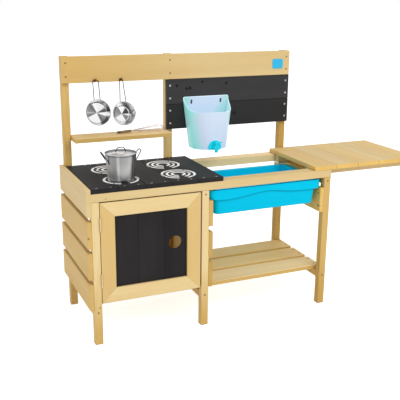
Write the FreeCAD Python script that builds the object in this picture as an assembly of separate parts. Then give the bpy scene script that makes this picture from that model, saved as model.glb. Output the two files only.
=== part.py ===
"""Mud kitchen: a timber play kitchen with a hob, a cupboard, a worktop that slides over a water
tray, a dispenser on a black board and a set of play pans.

Millimetres, +Z up. X runs left to right along the front, Y from the front to the back.
The origin is the middle of the front left foot, on the floor.
"""
import FreeCAD
import Part
import math
import os

# Timber stock
TIMBER = 28.0
BOARD_WIDTH = 97.0
BOARD_THICK = 16.0
TIMBER_EASE = 1.2

# Frame
FRAME_WIDTH = 952.0
FRAME_DEPTH = 395.0
RAIL_TOP_HEIGHT = 557.0
POST_RISE = 425.0
RAIL_DEPTH = 48.0
RAIL_HEIGHT = 30.0
MIDDLE_FRAME_OFFSET = 408.0
LOW_RAIL_HEIGHT = 108.0

# Cladding and shelves
LEFT_SLATS = 4
LEFT_SLAT_LOW_HEIGHT = 134.6
LEFT_SLAT_GAP = 16.8
PARTITION_SLATS = 3
PARTITION_SLAT_GAP = 21.5
PARTITION_FLOOR_GAP = 1.0
FLOOR_BOARDS = 3
FLOOR_SETBACK = 39.0
FLOOR_BOARD_GAP = 18.5
SMALL_SHELF_DROP = 312.0
BACKBOARDS = 2
BACKBOARD_GAP = 1.0

# Hob and sliding worktop
TOP_BOARDS = 5
TOP_BOARD_GAP = 1.5
TOP_POST_GAP = 5.0
RUNNER_WIDTH = 28.0
RUNNER_SIDE_GAP = 1.0
RUNNER_LIFT = 0.5
RUNNER_END_INSET = 4.0
KEEPER_LENGTH = 40.0
KEEPER_THICK = 3.0
KEEPER_REACH = 14.0
KEEPER_LIFT = 0.5

# Cupboard door
DOOR_STILE = 51.5
DOOR_BOTTOM_RAIL = 52.0
DOOR_THICK = 18.0
DOOR_SETBACK = 0.5
DOOR_HINGE_GAP = 2.0
DOOR_LATCH_GAP = 5.0
DOOR_TOP_GAP = 4.0
DOOR_FLOOR_GAP = 4.0
PANEL_RECESS = 8.0
PANEL_THICK = 8.0
PANEL_REBATE = 8.0
PANEL_BOARDS = 3
PANEL_FIT = 0.5
FINGER_HOLE_RADIUS = 25.0
FINGER_HOLE_INSET = 43.5
FINGER_HOLE_DROP = 127.5

# Butt hinges and door catch
HINGE_LOW_INSET = 87.0
HINGE_HIGH_INSET = 76.0
HINGE_LENGTH = 50.0
HINGE_LEAF = 0.9
HINGE_KNUCKLE_RADIUS = 2.5
HINGE_PIN_RADIUS = 1.25
HINGE_PIN_FIT = 0.05
HINGE_PIN_PROUD = 3.0
HINGE_KNUCKLE_GAP = 0.4
HINGE_LEAF_DEPTH = 16.0
CATCH_LENGTH = 45.0
CATCH_DEPTH = 13.0
CATCH_HEIGHT = 14.0
CATCH_INSET = 16.0
CATCH_PLATE_THICK = 1.5
CATCH_PLATE_HEIGHT = 16.0
CATCH_PLATE_LENGTH = 36.0
CATCH_GAP = 0.5

# Water tray
TRAY_SIDE_GAP = 6.0
TRAY_FAR_GAP = 9.0
TRAY_SETBACK = 5.0
TRAY_DEPTH = 280.0
TRAY_SKIRT = 34.0
TRAY_RAIL_GAP = 6.0
TRAY_WALL = 2.5
TRAY_BODY_DEPTH = 96.0
TRAY_RIM = 19.0
TRAY_FRONT_RIM = 4.0
TRAY_DRAFT = 8.0
TRAY_CORNER = 26.0
TRAY_BODY_CORNER = 20.0
TRAY_FOOT_RADIUS = 6.0
TRAY_WAVE = 17.0
TRAY_WAVE_END_INSET = 10.5
TRAY_WAVE_DROP = 4.0
TRAY_WAVE_SHARES = ((0.15, 0.01), (0.32, 0.5), (0.515, 1.0), (0.70, 0.44), (0.84, 0.24))

# Water dispenser
DISPENSER_INSET = 166.5
DISPENSER_DROP = 168.0
DISPENSER_RISE = 40.0
DISPENSER_TOP_WIDTH = 199.0
DISPENSER_LOW_WIDTH = 146.0
DISPENSER_TOP_DEPTH = 106.0
DISPENSER_LOW_DEPTH = 89.0
DISPENSER_TOP_CORNER = 90.0
DISPENSER_LOW_CORNER = 58.0
DISPENSER_PLATE = 3.0
DISPENSER_WALL = 2.5
DISPENSER_PLATE_CORNER = 7.0
DISPENSER_RIM_BACK_DROP = 14.0
DISPENSER_RIM_FRONT_DROP = 51.0
DISPENSER_RIM_KNEE_DROP = 44.5
DISPENSER_RIM_KNEE_DEPTH = 41.0
KEYHOLE_SPACING = 127.0
KEYHOLE_TOP_INSET = 16.0
KEYHOLE_RADIUS = 4.5
KEYHOLE_SLOT_RADIUS = 2.25
KEYHOLE_RISE = 8.0
HANGER_RADIUS = 1.75
HANGER_HEAD_RADIUS = 3.6
HANGER_HEAD_THICK = 2.0
HANGER_HEAD_GAP = 0.4
HANGER_SEAT_GAP = 0.3

# Dispenser tap
TAP_FLANGE_RADIUS = 27.0
TAP_FLANGE_THICK = 5.0
TAP_AXIS_RISE = 10.0
TAP_SINK = 1.5
TAP_BARREL_RADIUS = 11.0
TAP_BARREL_LENGTH = 20.0
TAP_SPOUT_RADIUS = 6.5
TAP_SPOUT_DROP = 18.0
TAP_SPOUT_INSET = 7.5
TAP_SPOUT_BORE = 4.5
TAP_SPOUT_RECESS = 3.0
TAP_LEVER_RADIUS = 7.0
TAP_LEVER_HEIGHT = 6.0
TAP_LEVER_REACH = 24.0
TAP_LEVER_WIDTH = 8.0
TAP_LEVER_GAP = 0.3
TAP_STEM_RADIUS = 2.5
TAP_STEM_FIT = 0.08
TAP_STEM_DEPTH = 5.0

# Pan hooks and pans
HOOK_PLACES = (122.0, 221.0)
HOOK_DROP = 87.0
HOOK_REACH = 19.0
HOOK_HANG = 9.0
HOOK_RADIUS = 1.5
HOOK_TIP = 11.0
HOOK_BEND = 5.0
HOOK_COLLAR_RADIUS = 5.0
HOOK_COLLAR_THICK = 1.5
HANDLE_WIRE_RADIUS = 1.6
WIRE_GAP = 0.3
PAN_WALL = 1.2
PAN_FLANGE = 1.4
PAN_CORNER = 7.0
PAN_TILT = 13.0
PAN_HANDLE_SETBACK = 3.5
LARGE_PAN_RIM_RADIUS = 47.2
LARGE_PAN_BASE_RADIUS = 40.0
LARGE_PAN_DEPTH = 26.0
LARGE_PAN_HANG = 120.0
LARGE_HANDLE_TOP = 21.5
LARGE_HANDLE_FOOT = 23.0
LARGE_HANDLE_BEND = 9.0
SMALL_PAN_RIM_RADIUS = 43.8
SMALL_PAN_BASE_RADIUS = 30.0
SMALL_PAN_DEPTH = 34.0
SMALL_PAN_HANG = 129.0
SMALL_HANDLE_TOP = 11.0
SMALL_HANDLE_FOOT = 24.0
SMALL_HANDLE_BEND = 4.5
PAN_LIP_RADIUS = 9.0
PAN_LIP_REACH = 3.5
PAN_LIP_DEPTH = 18.0

# Pot
POT_CENTRE_X = 137.0
POT_CENTRE_Y = 95.0
POT_HEIGHT = 98.0
POT_RIM_RADIUS = 55.5
POT_BASE_RADIUS = 46.5
POT_CORNER = 8.0
POT_HANDLE_HEIGHT = 70.0
POT_HANDLE_FOOT = 38.0
POT_HANDLE_TOP = 32.0
POT_HANDLE_OUT = 16.5
POT_HANDLE_RISE = 34.0
POT_HANDLE_BEND = 13.0
POT_HANDLE_RADIUS = 1.8
LID_DROP = 6.0
LID_DOME = 5.0
LID_FIT = 0.4
LID_LIP = 4.0
LID_LOOP_FOOT = 38.0
LID_LOOP_TOP = 26.0
LID_LOOP_HEIGHT = 19.0
LID_LOOP_BEND = 11.0
LID_LOOP_RADIUS = 1.6

# Whisk
WHISK_POST_INSET = 203.0
WHISK_SETBACK = 40.0
WHISK_HANDLE_LENGTH = 54.0
WHISK_HANDLE_RADIUS = 5.2
WHISK_END_RADIUS = 4.0
WHISK_LENGTH = 182.0
WHISK_COLLAR_RADIUS = 3.4
WHISK_COLLAR_LENGTH = 12.0
WHISK_BALLOON_RADIUS = 15.0
WHISK_BALLOON_BEND = 13.0
WHISK_WIRE_RADIUS = 0.9
WHISK_NECK_RADIUS = 2.3
WHISK_LOOPS = 3
WHISK_SLANT = 5.0
WHISK_GAP = 0.3

# Cutting overrun
OVERRUN = 5.0

# Heights and places that follow from the sizes above
LEG_HEIGHT = RAIL_TOP_HEIGHT - RAIL_HEIGHT
POST_HEIGHT = RAIL_TOP_HEIGHT + POST_RISE
TOP_SURFACE = RAIL_TOP_HEIGHT + BOARD_THICK
TOP_DEPTH = FRAME_DEPTH - TIMBER - TOP_POST_GAP
TOP_WIDTH = TOP_BOARDS * BOARD_WIDTH + (TOP_BOARDS - 1) * TOP_BOARD_GAP
POST_FRONT = FRAME_DEPTH - TIMBER
FRAME_PLACES = (0.0, MIDDLE_FRAME_OFFSET, FRAME_WIDTH - TIMBER)
MIDDLE_FRAME_RIGHT = MIDDLE_FRAME_OFFSET + TIMBER
RIGHT_FRAME_LEFT = FRAME_WIDTH - TIMBER
BACK_RAIL_FRONT = POST_FRONT - RAIL_DEPTH
FLOOR_TOP = LOW_RAIL_HEIGHT + TIMBER + BOARD_THICK
FLOOR_BOARD_WIDTH = (POST_FRONT - FLOOR_SETBACK - (FLOOR_BOARDS - 1) * FLOOR_BOARD_GAP) / FLOOR_BOARDS
LEFT_SLAT_SPAN = TOP_SURFACE - LEFT_SLAT_LOW_HEIGHT
LEFT_SLAT_WIDTH = (LEFT_SLAT_SPAN - (LEFT_SLATS - 1) * LEFT_SLAT_GAP) / LEFT_SLATS
TRAY_SEAT_HEIGHT = LEG_HEIGHT - TRAY_RAIL_GAP - TRAY_SKIRT
PARTITION_LOW = FLOOR_TOP + PARTITION_FLOOR_GAP
PARTITION_SPAN = TRAY_SEAT_HEIGHT - PARTITION_LOW
PARTITION_SLAT_WIDTH = (PARTITION_SPAN - (PARTITION_SLATS - 1) * PARTITION_SLAT_GAP) / PARTITION_SLATS
WORKTOP_LEFT = RIGHT_FRAME_LEFT - KEEPER_LENGTH - RUNNER_END_INSET
BACKBOARD_FRONT = POST_FRONT - BOARD_THICK
TOP_BOARD_LOW = POST_HEIGHT - BOARD_WIDTH
BACKBOARD_PITCH = BOARD_WIDTH + BACKBOARD_GAP
SMALL_SHELF_HEIGHT = POST_HEIGHT - SMALL_SHELF_DROP
SMALL_SHELF_TOP = SMALL_SHELF_HEIGHT + BOARD_THICK
TRAY_LEFT = MIDDLE_FRAME_RIGHT + TRAY_SIDE_GAP
TRAY_RIGHT = RIGHT_FRAME_LEFT - TRAY_FAR_GAP
TRAY_BACK = TRAY_SETBACK + TRAY_DEPTH
TRAY_TOP = TRAY_SEAT_HEIGHT + TRAY_SKIRT
TRAY_BOTTOM = TRAY_TOP - TRAY_BODY_DEPTH
DOOR_LEFT = TIMBER + DOOR_HINGE_GAP
DOOR_RIGHT = MIDDLE_FRAME_OFFSET - DOOR_LATCH_GAP
DOOR_LOW = FLOOR_TOP + DOOR_FLOOR_GAP
DOOR_HIGH = LEG_HEIGHT - DOOR_TOP_GAP
DOOR_BACK = DOOR_SETBACK + DOOR_THICK
PANEL_FRONT = DOOR_SETBACK + PANEL_RECESS
PANEL_HIGH = DOOR_HIGH - DOOR_STILE
HINGE_HEIGHTS = (DOOR_LOW + HINGE_LOW_INSET, DOOR_HIGH - HINGE_HIGH_INSET)
HINGE_X = TIMBER + DOOR_HINGE_GAP / 2
HINGE_Y = -HINGE_PIN_PROUD
DISPENSER_BACK = BACKBOARD_FRONT
DISPENSER_CENTRE = MIDDLE_FRAME_OFFSET + DISPENSER_INSET
DISPENSER_TOP_HEIGHT = POST_HEIGHT - DISPENSER_DROP
DISPENSER_LOW_HEIGHT = TOP_SURFACE + DISPENSER_RISE
DISPENSER_SPAN = DISPENSER_TOP_HEIGHT - DISPENSER_LOW_HEIGHT
DISPENSER_RIM_BACK_HEIGHT = DISPENSER_TOP_HEIGHT - DISPENSER_RIM_BACK_DROP
DISPENSER_RIM_FRONT_HEIGHT = DISPENSER_TOP_HEIGHT - DISPENSER_RIM_FRONT_DROP
DISPENSER_RIM_KNEE_HEIGHT = DISPENSER_TOP_HEIGHT - DISPENSER_RIM_KNEE_DROP
HANGER_HEIGHT = DISPENSER_TOP_HEIGHT - KEYHOLE_TOP_INSET
HOOK_Y = BACKBOARD_FRONT - HOOK_HANG
HOOK_HEIGHT = POST_HEIGHT - HOOK_DROP
WHISK_HANDLE_X = MIDDLE_FRAME_OFFSET - WHISK_POST_INSET
WHISK_HANDLE_Y = FRAME_DEPTH - WHISK_SETBACK
ORIGIN = FreeCAD.Vector(TIMBER / 2, TIMBER / 2, 0)

X_AXIS = FreeCAD.Vector(1, 0, 0)
Y_AXIS = FreeCAD.Vector(0, 1, 0)
Z_AXIS = FreeCAD.Vector(0, 0, 1)


def save(name, *solids):
    """Write one node as a STEP file, moved so that the front left foot is the origin."""
    shape = solids[0] if len(solids) == 1 else Part.makeCompound(list(solids))
    moved = shape.copy()
    moved.translate(-ORIGIN)
    if not moved.isValid():
        raise ValueError(name + " is not a valid shape")
    moved.exportStep(os.path.join("parts", name + ".step"))


def block(x, y, z):
    """Block between the low and high values of each axis."""
    corner = FreeCAD.Vector(x[0], y[0], z[0])
    return Part.makeBox(x[1] - x[0], y[1] - y[0], z[1] - z[0], corner)


def timber(x, y, z, along):
    """Piece of planed timber: a block with the four edges along its length eased."""
    solid = block(x, y, z)
    edges = [edge for edge in solid.Edges if abs(edge.tangentAt(edge.FirstParameter).dot(along)) > 0.5]
    return solid.makeChamfer(TIMBER_EASE, edges)


def cylinder(radius, length, start, direction):
    """Round bar from a start point along a direction."""
    return Part.makeCylinder(radius, length, start, direction)


def single(shape):
    """Tidy boolean result as one solid."""
    return shape.removeSplitter().Solids[0]


def rounded_path(points, bend):
    """Wire through points, with an arc of the bend radius at each inner point."""
    edges = []
    start = points[0]
    for before, corner, after in zip(points, points[1:], points[2:]):
        back = (before - corner).normalize()
        ahead = (after - corner).normalize()
        half_angle = back.getAngle(ahead) / 2
        tangent = bend / math.tan(half_angle)
        middle = (back + ahead).normalize() * (bend / math.sin(half_angle) - bend)
        first = corner + back * tangent
        last = corner + ahead * tangent
        edges.append(Part.LineSegment(start, first).toShape())
        edges.append(Part.Arc(first, corner + middle, last).toShape())
        start = last
    edges.append(Part.LineSegment(start, points[-1]).toShape())
    return Part.Wire(edges)


def bent_wire(points, bend, radius):
    """Round wire bent along a path."""
    path = rounded_path(points, bend)
    profile = Part.Wire(Part.makeCircle(radius, points[0], points[1] - points[0]))
    return path.makePipeShell([profile], True, False)


def rounded_rectangle(x, y, z, radius):
    """Level wire of four lines and four arcs."""
    (x0, x1), (y0, y1) = x, y
    diagonal = radius * (1 - math.sqrt(0.5))
    ends = []
    corners = ((x1, y0, -1, 1), (x1, y1, -1, -1), (x0, y1, 1, -1), (x0, y0, 1, 1))
    for corner_x, corner_y, sign_x, sign_y in corners:
        across = FreeCAD.Vector(corner_x + sign_x * radius, corner_y, z)
        middle = FreeCAD.Vector(corner_x + sign_x * diagonal, corner_y + sign_y * diagonal, z)
        along = FreeCAD.Vector(corner_x, corner_y + sign_y * radius, z)
        ends.append((across, middle, along) if sign_x * sign_y < 0 else (along, middle, across))
    edges = []
    for (first, middle, last), (following, _, _) in zip(ends, ends[1:] + ends[:1]):
        edges.append(Part.Arc(first, middle, last).toShape())
        edges.append(Part.LineSegment(last, following).toShape())
    return Part.Wire(edges)


def loft(*wires):
    """Closed solid through wires, with straight sides."""
    return Part.makeLoft(list(wires), True, True)


def prism(wire, direction):
    """Solid swept from a flat closed wire."""
    return Part.Face(wire).extrude(direction)


def vessel(base_radius, rim_radius, height, corner, lip=None):
    """Spun sheet vessel standing on its base at z 0, with a flat rolled edge and maybe a pouring lip."""
    slope = (rim_radius - base_radius) / height
    outer = Part.makeCone(base_radius, rim_radius, height)
    outer = outer.makeFillet(corner, [lowest_edge(outer)])
    inner = Part.makeCone(base_radius - PAN_WALL, rim_radius - PAN_WALL + slope * OVERRUN, height + OVERRUN)
    inner = inner.makeFillet(corner - PAN_WALL, [lowest_edge(inner)])
    inner.translate(Z_AXIS * PAN_WALL)
    rolled = Part.makeCylinder(rim_radius + PAN_FLANGE, PAN_FLANGE, Z_AXIS * (height - PAN_FLANGE))
    outer = outer.fuse(rolled)
    if lip:
        radius, reach, depth = lip
        centre = FreeCAD.Vector(rim_radius + reach - radius, 0, height - depth)
        outer = outer.fuse(Part.makeCone(0, radius + PAN_FLANGE, depth, centre))
        inner = inner.fuse(Part.makeCone(0, radius, depth + PAN_WALL, centre))
    return single(outer.cut(inner))


def lowest_edge(solid):
    """Round edge nearest to the floor."""
    return min((edge for edge in solid.Edges if edge.Closed), key=lambda edge: edge.BoundBox.ZMax)


def frames():
    """Three upright frames: front leg, back post and two side rails each."""
    sides = ("left", "middle", "right")
    inner = (TIMBER, POST_FRONT)
    top_rails = []
    low_rails = []
    for side, place in zip(sides, FRAME_PLACES):
        span = (place, place + TIMBER)
        save("front_" + side + "_leg", timber(span, (0, TIMBER), (0, LEG_HEIGHT), Z_AXIS))
        save("back_" + side + "_post", timber(span, (POST_FRONT, FRAME_DEPTH), (0, POST_HEIGHT), Z_AXIS))
        top_rails.append(timber(span, inner, (LEG_HEIGHT - TIMBER, LEG_HEIGHT), Y_AXIS))
        low_rails.append(timber(span, inner, (LOW_RAIL_HEIGHT, LOW_RAIL_HEIGHT + TIMBER), Y_AXIS))
    save("top_side_rails", *top_rails)
    save("low_side_rails", *low_rails)


def rails():
    """Long rails that carry the hob and the sliding worktop."""
    width = (0, FRAME_WIDTH)
    height = (LEG_HEIGHT, RAIL_TOP_HEIGHT)
    save("front_rail", timber(width, (0, RAIL_DEPTH), height, X_AXIS))
    save("back_rail", timber(width, (BACK_RAIL_FRONT, POST_FRONT), height, X_AXIS))


def side_slat(left, high, width):
    """Board on edge, running from the front to the back, below a height."""
    return timber((left, left + BOARD_THICK), (0, FRAME_DEPTH), (high - width, high), Y_AXIS)


def slats():
    """Slats on the left side, on the cupboard's inner side and on the right frame."""
    pitch = LEFT_SLAT_WIDTH + LEFT_SLAT_GAP
    for index in range(LEFT_SLATS):
        slat = side_slat(-BOARD_THICK, TOP_SURFACE - index * pitch, LEFT_SLAT_WIDTH)
        save("left_slat_%d" % (index + 1), slat)
    pitch = PARTITION_SLAT_WIDTH + PARTITION_SLAT_GAP
    for index in range(PARTITION_SLATS):
        slat = side_slat(MIDDLE_FRAME_RIGHT, TRAY_SEAT_HEIGHT - index * pitch, PARTITION_SLAT_WIDTH)
        save("partition_slat_%d" % (index + 1), slat)
    slat = side_slat(RIGHT_FRAME_LEFT - BOARD_THICK, TRAY_SEAT_HEIGHT, PARTITION_SLAT_WIDTH)
    save("right_slat", slat)


def floor():
    """Boards of the lower shelf, which are the cupboard's floor too."""
    pitch = FLOOR_BOARD_WIDTH + FLOOR_BOARD_GAP
    height = (FLOOR_TOP - BOARD_THICK, FLOOR_TOP)
    for index in range(FLOOR_BOARDS):
        front = FLOOR_SETBACK + index * pitch
        board = timber((0, FRAME_WIDTH), (front, front + FLOOR_BOARD_WIDTH), height, X_AXIS)
        save("floor_board_%d" % (index + 1), board)


def backboards():
    """Top board, black boards and the small shelf between the left and middle posts."""
    depth = (BACKBOARD_FRONT, POST_FRONT)
    save("top_back_board", timber((0, FRAME_WIDTH), depth, (TOP_BOARD_LOW, POST_HEIGHT), X_AXIS))
    for index in range(BACKBOARDS):
        low = TOP_BOARD_LOW - (index + 1) * BACKBOARD_PITCH
        board = timber((MIDDLE_FRAME_OFFSET, FRAME_WIDTH), depth, (low, low + BOARD_WIDTH), X_AXIS)
        save("black_board_%d" % (index + 1), board)
    span = (TIMBER, MIDDLE_FRAME_OFFSET)
    height = (SMALL_SHELF_HEIGHT, SMALL_SHELF_TOP)
    save("small_shelf", timber(span, (FRAME_DEPTH - BOARD_WIDTH, FRAME_DEPTH), height, X_AXIS))


def top_board(left):
    """Board of the hob or the sliding worktop, running from the front to the back."""
    return timber((left, left + BOARD_WIDTH), (0, TOP_DEPTH), (RAIL_TOP_HEIGHT, TOP_SURFACE), Y_AXIS)


def hob():
    """Fixed boards over the cupboard."""
    for index in range(TOP_BOARDS):
        save("hob_board_%d" % (index + 1), top_board(index * (BOARD_WIDTH + TOP_BOARD_GAP)))


def keeper(runner, rail_side):
    """Stepped steel plate under a runner's inner end. It hooks under the rail and ends the travel."""
    left = WORKTOP_LEFT + RUNNER_END_INSET
    right = RIGHT_FRAME_LEFT
    packing_low = LEG_HEIGHT - KEEPER_LIFT
    strap = (min(runner[0], rail_side), max(runner[1], rail_side))
    packing = block((left, right), runner, (packing_low, LEG_HEIGHT + RUNNER_LIFT))
    hook = block((left, right), strap, (packing_low - KEEPER_THICK, packing_low))
    return single(packing.fuse(hook))


def worktop():
    """Sliding worktop: boards on two runners that keep between the front and back rails."""
    pitch = BOARD_WIDTH + TOP_BOARD_GAP
    save("worktop_boards", *[top_board(WORKTOP_LEFT + index * pitch) for index in range(TOP_BOARDS)])
    span = (WORKTOP_LEFT + RUNNER_END_INSET, WORKTOP_LEFT + TOP_WIDTH - RUNNER_END_INSET)
    height = (LEG_HEIGHT + RUNNER_LIFT, RAIL_TOP_HEIGHT)
    front = (RAIL_DEPTH + RUNNER_SIDE_GAP, RAIL_DEPTH + RUNNER_SIDE_GAP + RUNNER_WIDTH)
    back = (BACK_RAIL_FRONT - RUNNER_SIDE_GAP - RUNNER_WIDTH, BACK_RAIL_FRONT - RUNNER_SIDE_GAP)
    save("worktop_runners", timber(span, front, height, X_AXIS), timber(span, back, height, X_AXIS))
    front_keeper = keeper(front, RAIL_DEPTH - KEEPER_REACH)
    back_keeper = keeper(back, BACK_RAIL_FRONT + KEEPER_REACH)
    save("worktop_keepers", front_keeper, back_keeper)


def door_corners(inset_side, inset_low, inset_high):
    """Corners of a rectangle inside the door, clockwise from the lower left, as x and z pairs."""
    left, right = DOOR_LEFT + inset_side, DOOR_RIGHT - inset_side
    low, high = DOOR_LOW + inset_low, DOOR_HIGH - inset_high
    return [(left, low), (left, high), (right, high), (right, low)]


def door_member(index, outer, inner, depth):
    """Mitred slice of the door frame between two corners of the outer and inner rectangles."""
    following = (index + 1) % len(outer)
    ring = [outer[index], outer[following], inner[following], inner[index]]
    points = [FreeCAD.Vector(x, depth[0], z) for x, z in ring]
    return prism(Part.makePolygon(points + points[:1]), Y_AXIS * (depth[1] - depth[0]))


def door_frame():
    """Four mitred members, rebated at the back for the panel."""
    outer = door_corners(0, 0, 0)
    front_inner = door_corners(DOOR_STILE, DOOR_BOTTOM_RAIL, DOOR_STILE)
    rebate_stile = DOOR_STILE - PANEL_REBATE
    back_inner = door_corners(rebate_stile, DOOR_BOTTOM_RAIL - PANEL_REBATE, rebate_stile)
    for index, name in enumerate(("left_stile", "top_rail", "right_stile", "bottom_rail")):
        front = door_member(index, outer, front_inner, (DOOR_SETBACK, PANEL_FRONT))
        back = door_member(index, outer, back_inner, (PANEL_FRONT, DOOR_BACK))
        save("door_" + name, single(front.fuse(back)))


def door_panel():
    """Black boards in the door's rebate, the last with a finger hole."""
    side = DOOR_STILE - PANEL_REBATE + PANEL_FIT
    low = DOOR_LOW + DOOR_BOTTOM_RAIL - PANEL_REBATE + PANEL_FIT
    width = (DOOR_RIGHT - DOOR_LEFT - 2 * side) / PANEL_BOARDS
    depth = (PANEL_FRONT, PANEL_FRONT + PANEL_THICK)
    hole_x = DOOR_RIGHT - DOOR_STILE - FINGER_HOLE_INSET
    hole_start = FreeCAD.Vector(hole_x, PANEL_FRONT - OVERRUN, PANEL_HIGH - FINGER_HOLE_DROP)
    hole = cylinder(FINGER_HOLE_RADIUS, PANEL_THICK + 2 * OVERRUN, hole_start, Y_AXIS)
    for index in range(PANEL_BOARDS):
        left = DOOR_LEFT + side + index * width
        board = timber((left, left + width), depth, (low, DOOR_HIGH - side), Z_AXIS)
        save("door_panel_board_%d" % (index + 1), single(board.cut(hole)))


def knuckle(centre, low, high):
    """Bored hinge knuckle on the pin's axis."""
    start = FreeCAD.Vector(HINGE_X, HINGE_Y, centre + low)
    outer = cylinder(HINGE_KNUCKLE_RADIUS, high - low, start, Z_AXIS)
    bore = cylinder(HINGE_PIN_RADIUS + HINGE_PIN_FIT, high - low, start, Z_AXIS)
    return outer, bore


def hinge_leaf(centre, x, spans):
    """Leaf in the gap between leg and door, with its own knuckles."""
    half = HINGE_LENGTH / 2
    leaf = block(x, (0, HINGE_LEAF_DEPTH), (centre - half, centre + half))
    bores = []
    for low, high in spans:
        outer, bore = knuckle(centre, low, high)
        tongue = block(x, (HINGE_Y, 0), (centre + low, centre + high))
        leaf = leaf.fuse(tongue).fuse(outer)
        bores.append(bore)
    for bore in bores:
        leaf = leaf.cut(bore)
    return single(leaf)


def hinges():
    """Two butt hinges: outer knuckles on the leg, the middle one on the door."""
    half = HINGE_LENGTH / 2
    third = HINGE_LENGTH / 3 / 2
    fixed_spans = ((-half, -third - HINGE_KNUCKLE_GAP), (third + HINGE_KNUCKLE_GAP, half))
    fixed_x = (TIMBER, TIMBER + HINGE_LEAF)
    moving_x = (DOOR_LEFT - HINGE_LEAF, DOOR_LEFT)
    pin_start = FreeCAD.Vector(HINGE_X, HINGE_Y, -half)
    save("hinge_leg_leaves", *[hinge_leaf(centre, fixed_x, fixed_spans) for centre in HINGE_HEIGHTS])
    save("hinge_door_leaves", *[hinge_leaf(centre, moving_x, ((-third, third),)) for centre in HINGE_HEIGHTS])
    pins = []
    for centre in HINGE_HEIGHTS:
        pins.append(cylinder(HINGE_PIN_RADIUS, HINGE_LENGTH, pin_start + Z_AXIS * centre, Z_AXIS))
    save("hinge_pins", *pins)


def door_catch():
    """Magnet under the front rail and its steel plate on the back of the door."""
    right = DOOR_RIGHT - CATCH_INSET
    plate_right = right - (CATCH_LENGTH - CATCH_PLATE_LENGTH) / 2
    front = DOOR_BACK + CATCH_PLATE_THICK + CATCH_GAP
    magnet_span = (right - CATCH_LENGTH, right)
    magnet_height = (LEG_HEIGHT - CATCH_HEIGHT, LEG_HEIGHT)
    save("magnetic_catch", block(magnet_span, (front, front + CATCH_DEPTH), magnet_height))
    plate_span = (plate_right - CATCH_PLATE_LENGTH, plate_right)
    plate_height = (DOOR_HIGH - CATCH_PLATE_HEIGHT, DOOR_HIGH)
    save("catch_plate", block(plate_span, (DOOR_BACK, DOOR_BACK + CATCH_PLATE_THICK), plate_height))


def tray_body(offset, overrun):
    """Tapered basin, drawn in from its outer face by an offset."""
    x = (TRAY_LEFT + TRAY_RIM + offset, TRAY_RIGHT - TRAY_RIM - offset)
    y = (TRAY_SETBACK + TRAY_FRONT_RIM + offset, TRAY_BACK - TRAY_RIM - offset)
    low = TRAY_BOTTOM + offset
    draft = TRAY_DRAFT * (1 - offset / TRAY_BODY_DEPTH)
    grow = TRAY_DRAFT * overrun / TRAY_BODY_DEPTH
    upper = rounded_rectangle((x[0] - grow, x[1] + grow), (y[0] - grow, y[1] + grow), TRAY_TOP + overrun,
                              TRAY_BODY_CORNER - offset)
    lower = rounded_rectangle((x[0] + draft, x[1] - draft), (y[0] + draft, y[1] - draft), low,
                              TRAY_BODY_CORNER - offset)
    solid = loft(lower, upper)
    foot = [edge for edge in solid.Edges if edge.BoundBox.ZMax < low + OVERRUN]
    return solid.makeFillet(TRAY_FOOT_RADIUS - offset, foot)


def tray_wave():
    """Space below the front skirt's wavy lower edge."""
    left, right = TRAY_LEFT + TRAY_WAVE_END_INSET, TRAY_RIGHT - TRAY_WAVE_END_INSET
    low = TRAY_SEAT_HEIGHT - TRAY_WAVE_DROP
    start = FreeCAD.Vector(left, 0, TRAY_SEAT_HEIGHT)
    end = FreeCAD.Vector(right, 0, TRAY_SEAT_HEIGHT)
    points = [start]
    for across, rise in TRAY_WAVE_SHARES:
        points.append(FreeCAD.Vector(left + across * (right - left), 0, low + rise * TRAY_WAVE))
    points.append(end)
    curve = Part.BSplineCurve()
    curve.interpolate(points)
    floor_z = TRAY_BOTTOM - OVERRUN
    far_left, far_right = TRAY_LEFT - OVERRUN, TRAY_RIGHT + OVERRUN
    places = [(far_right, TRAY_SEAT_HEIGHT), (far_right, floor_z), (far_left, floor_z),
              (far_left, TRAY_SEAT_HEIGHT)]
    outside = [end] + [FreeCAD.Vector(x, 0, z) for x, z in places] + [start]
    lines = [Part.LineSegment(first, last).toShape() for first, last in zip(outside, outside[1:])]
    return prism(Part.Wire([curve.toShape()] + lines), Y_AXIS * (TRAY_SETBACK + TRAY_CORNER))


def tray():
    """Moulded tray: tapered basin, flat rim and a skirt whose front edge is a wave."""
    skirt_low = TRAY_SEAT_HEIGHT - TRAY_WAVE_DROP - OVERRUN
    x, y = (TRAY_LEFT, TRAY_RIGHT), (TRAY_SETBACK, TRAY_BACK)
    inner_x = (x[0] + TRAY_WALL, x[1] - TRAY_WALL)
    inner_y = (y[0] + TRAY_WALL, y[1] - TRAY_WALL)
    inner_corner = TRAY_CORNER - TRAY_WALL
    cap = prism(rounded_rectangle(x, y, skirt_low, TRAY_CORNER), Z_AXIS * (TRAY_TOP - skirt_low))
    hollow_height = TRAY_TOP - TRAY_WALL - skirt_low
    cap = cap.cut(prism(rounded_rectangle(inner_x, inner_y, skirt_low, inner_corner), Z_AXIS * hollow_height))
    back_low = block((x[0] - OVERRUN, x[1] + OVERRUN), (y[0] + TRAY_CORNER, y[1] + OVERRUN),
                     (skirt_low - OVERRUN, TRAY_SEAT_HEIGHT))
    cap = cap.cut(back_low).cut(tray_wave())
    save("water_tray", single(cap.fuse(tray_body(0, 0)).cut(tray_body(TRAY_WALL, OVERRUN))))


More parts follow.
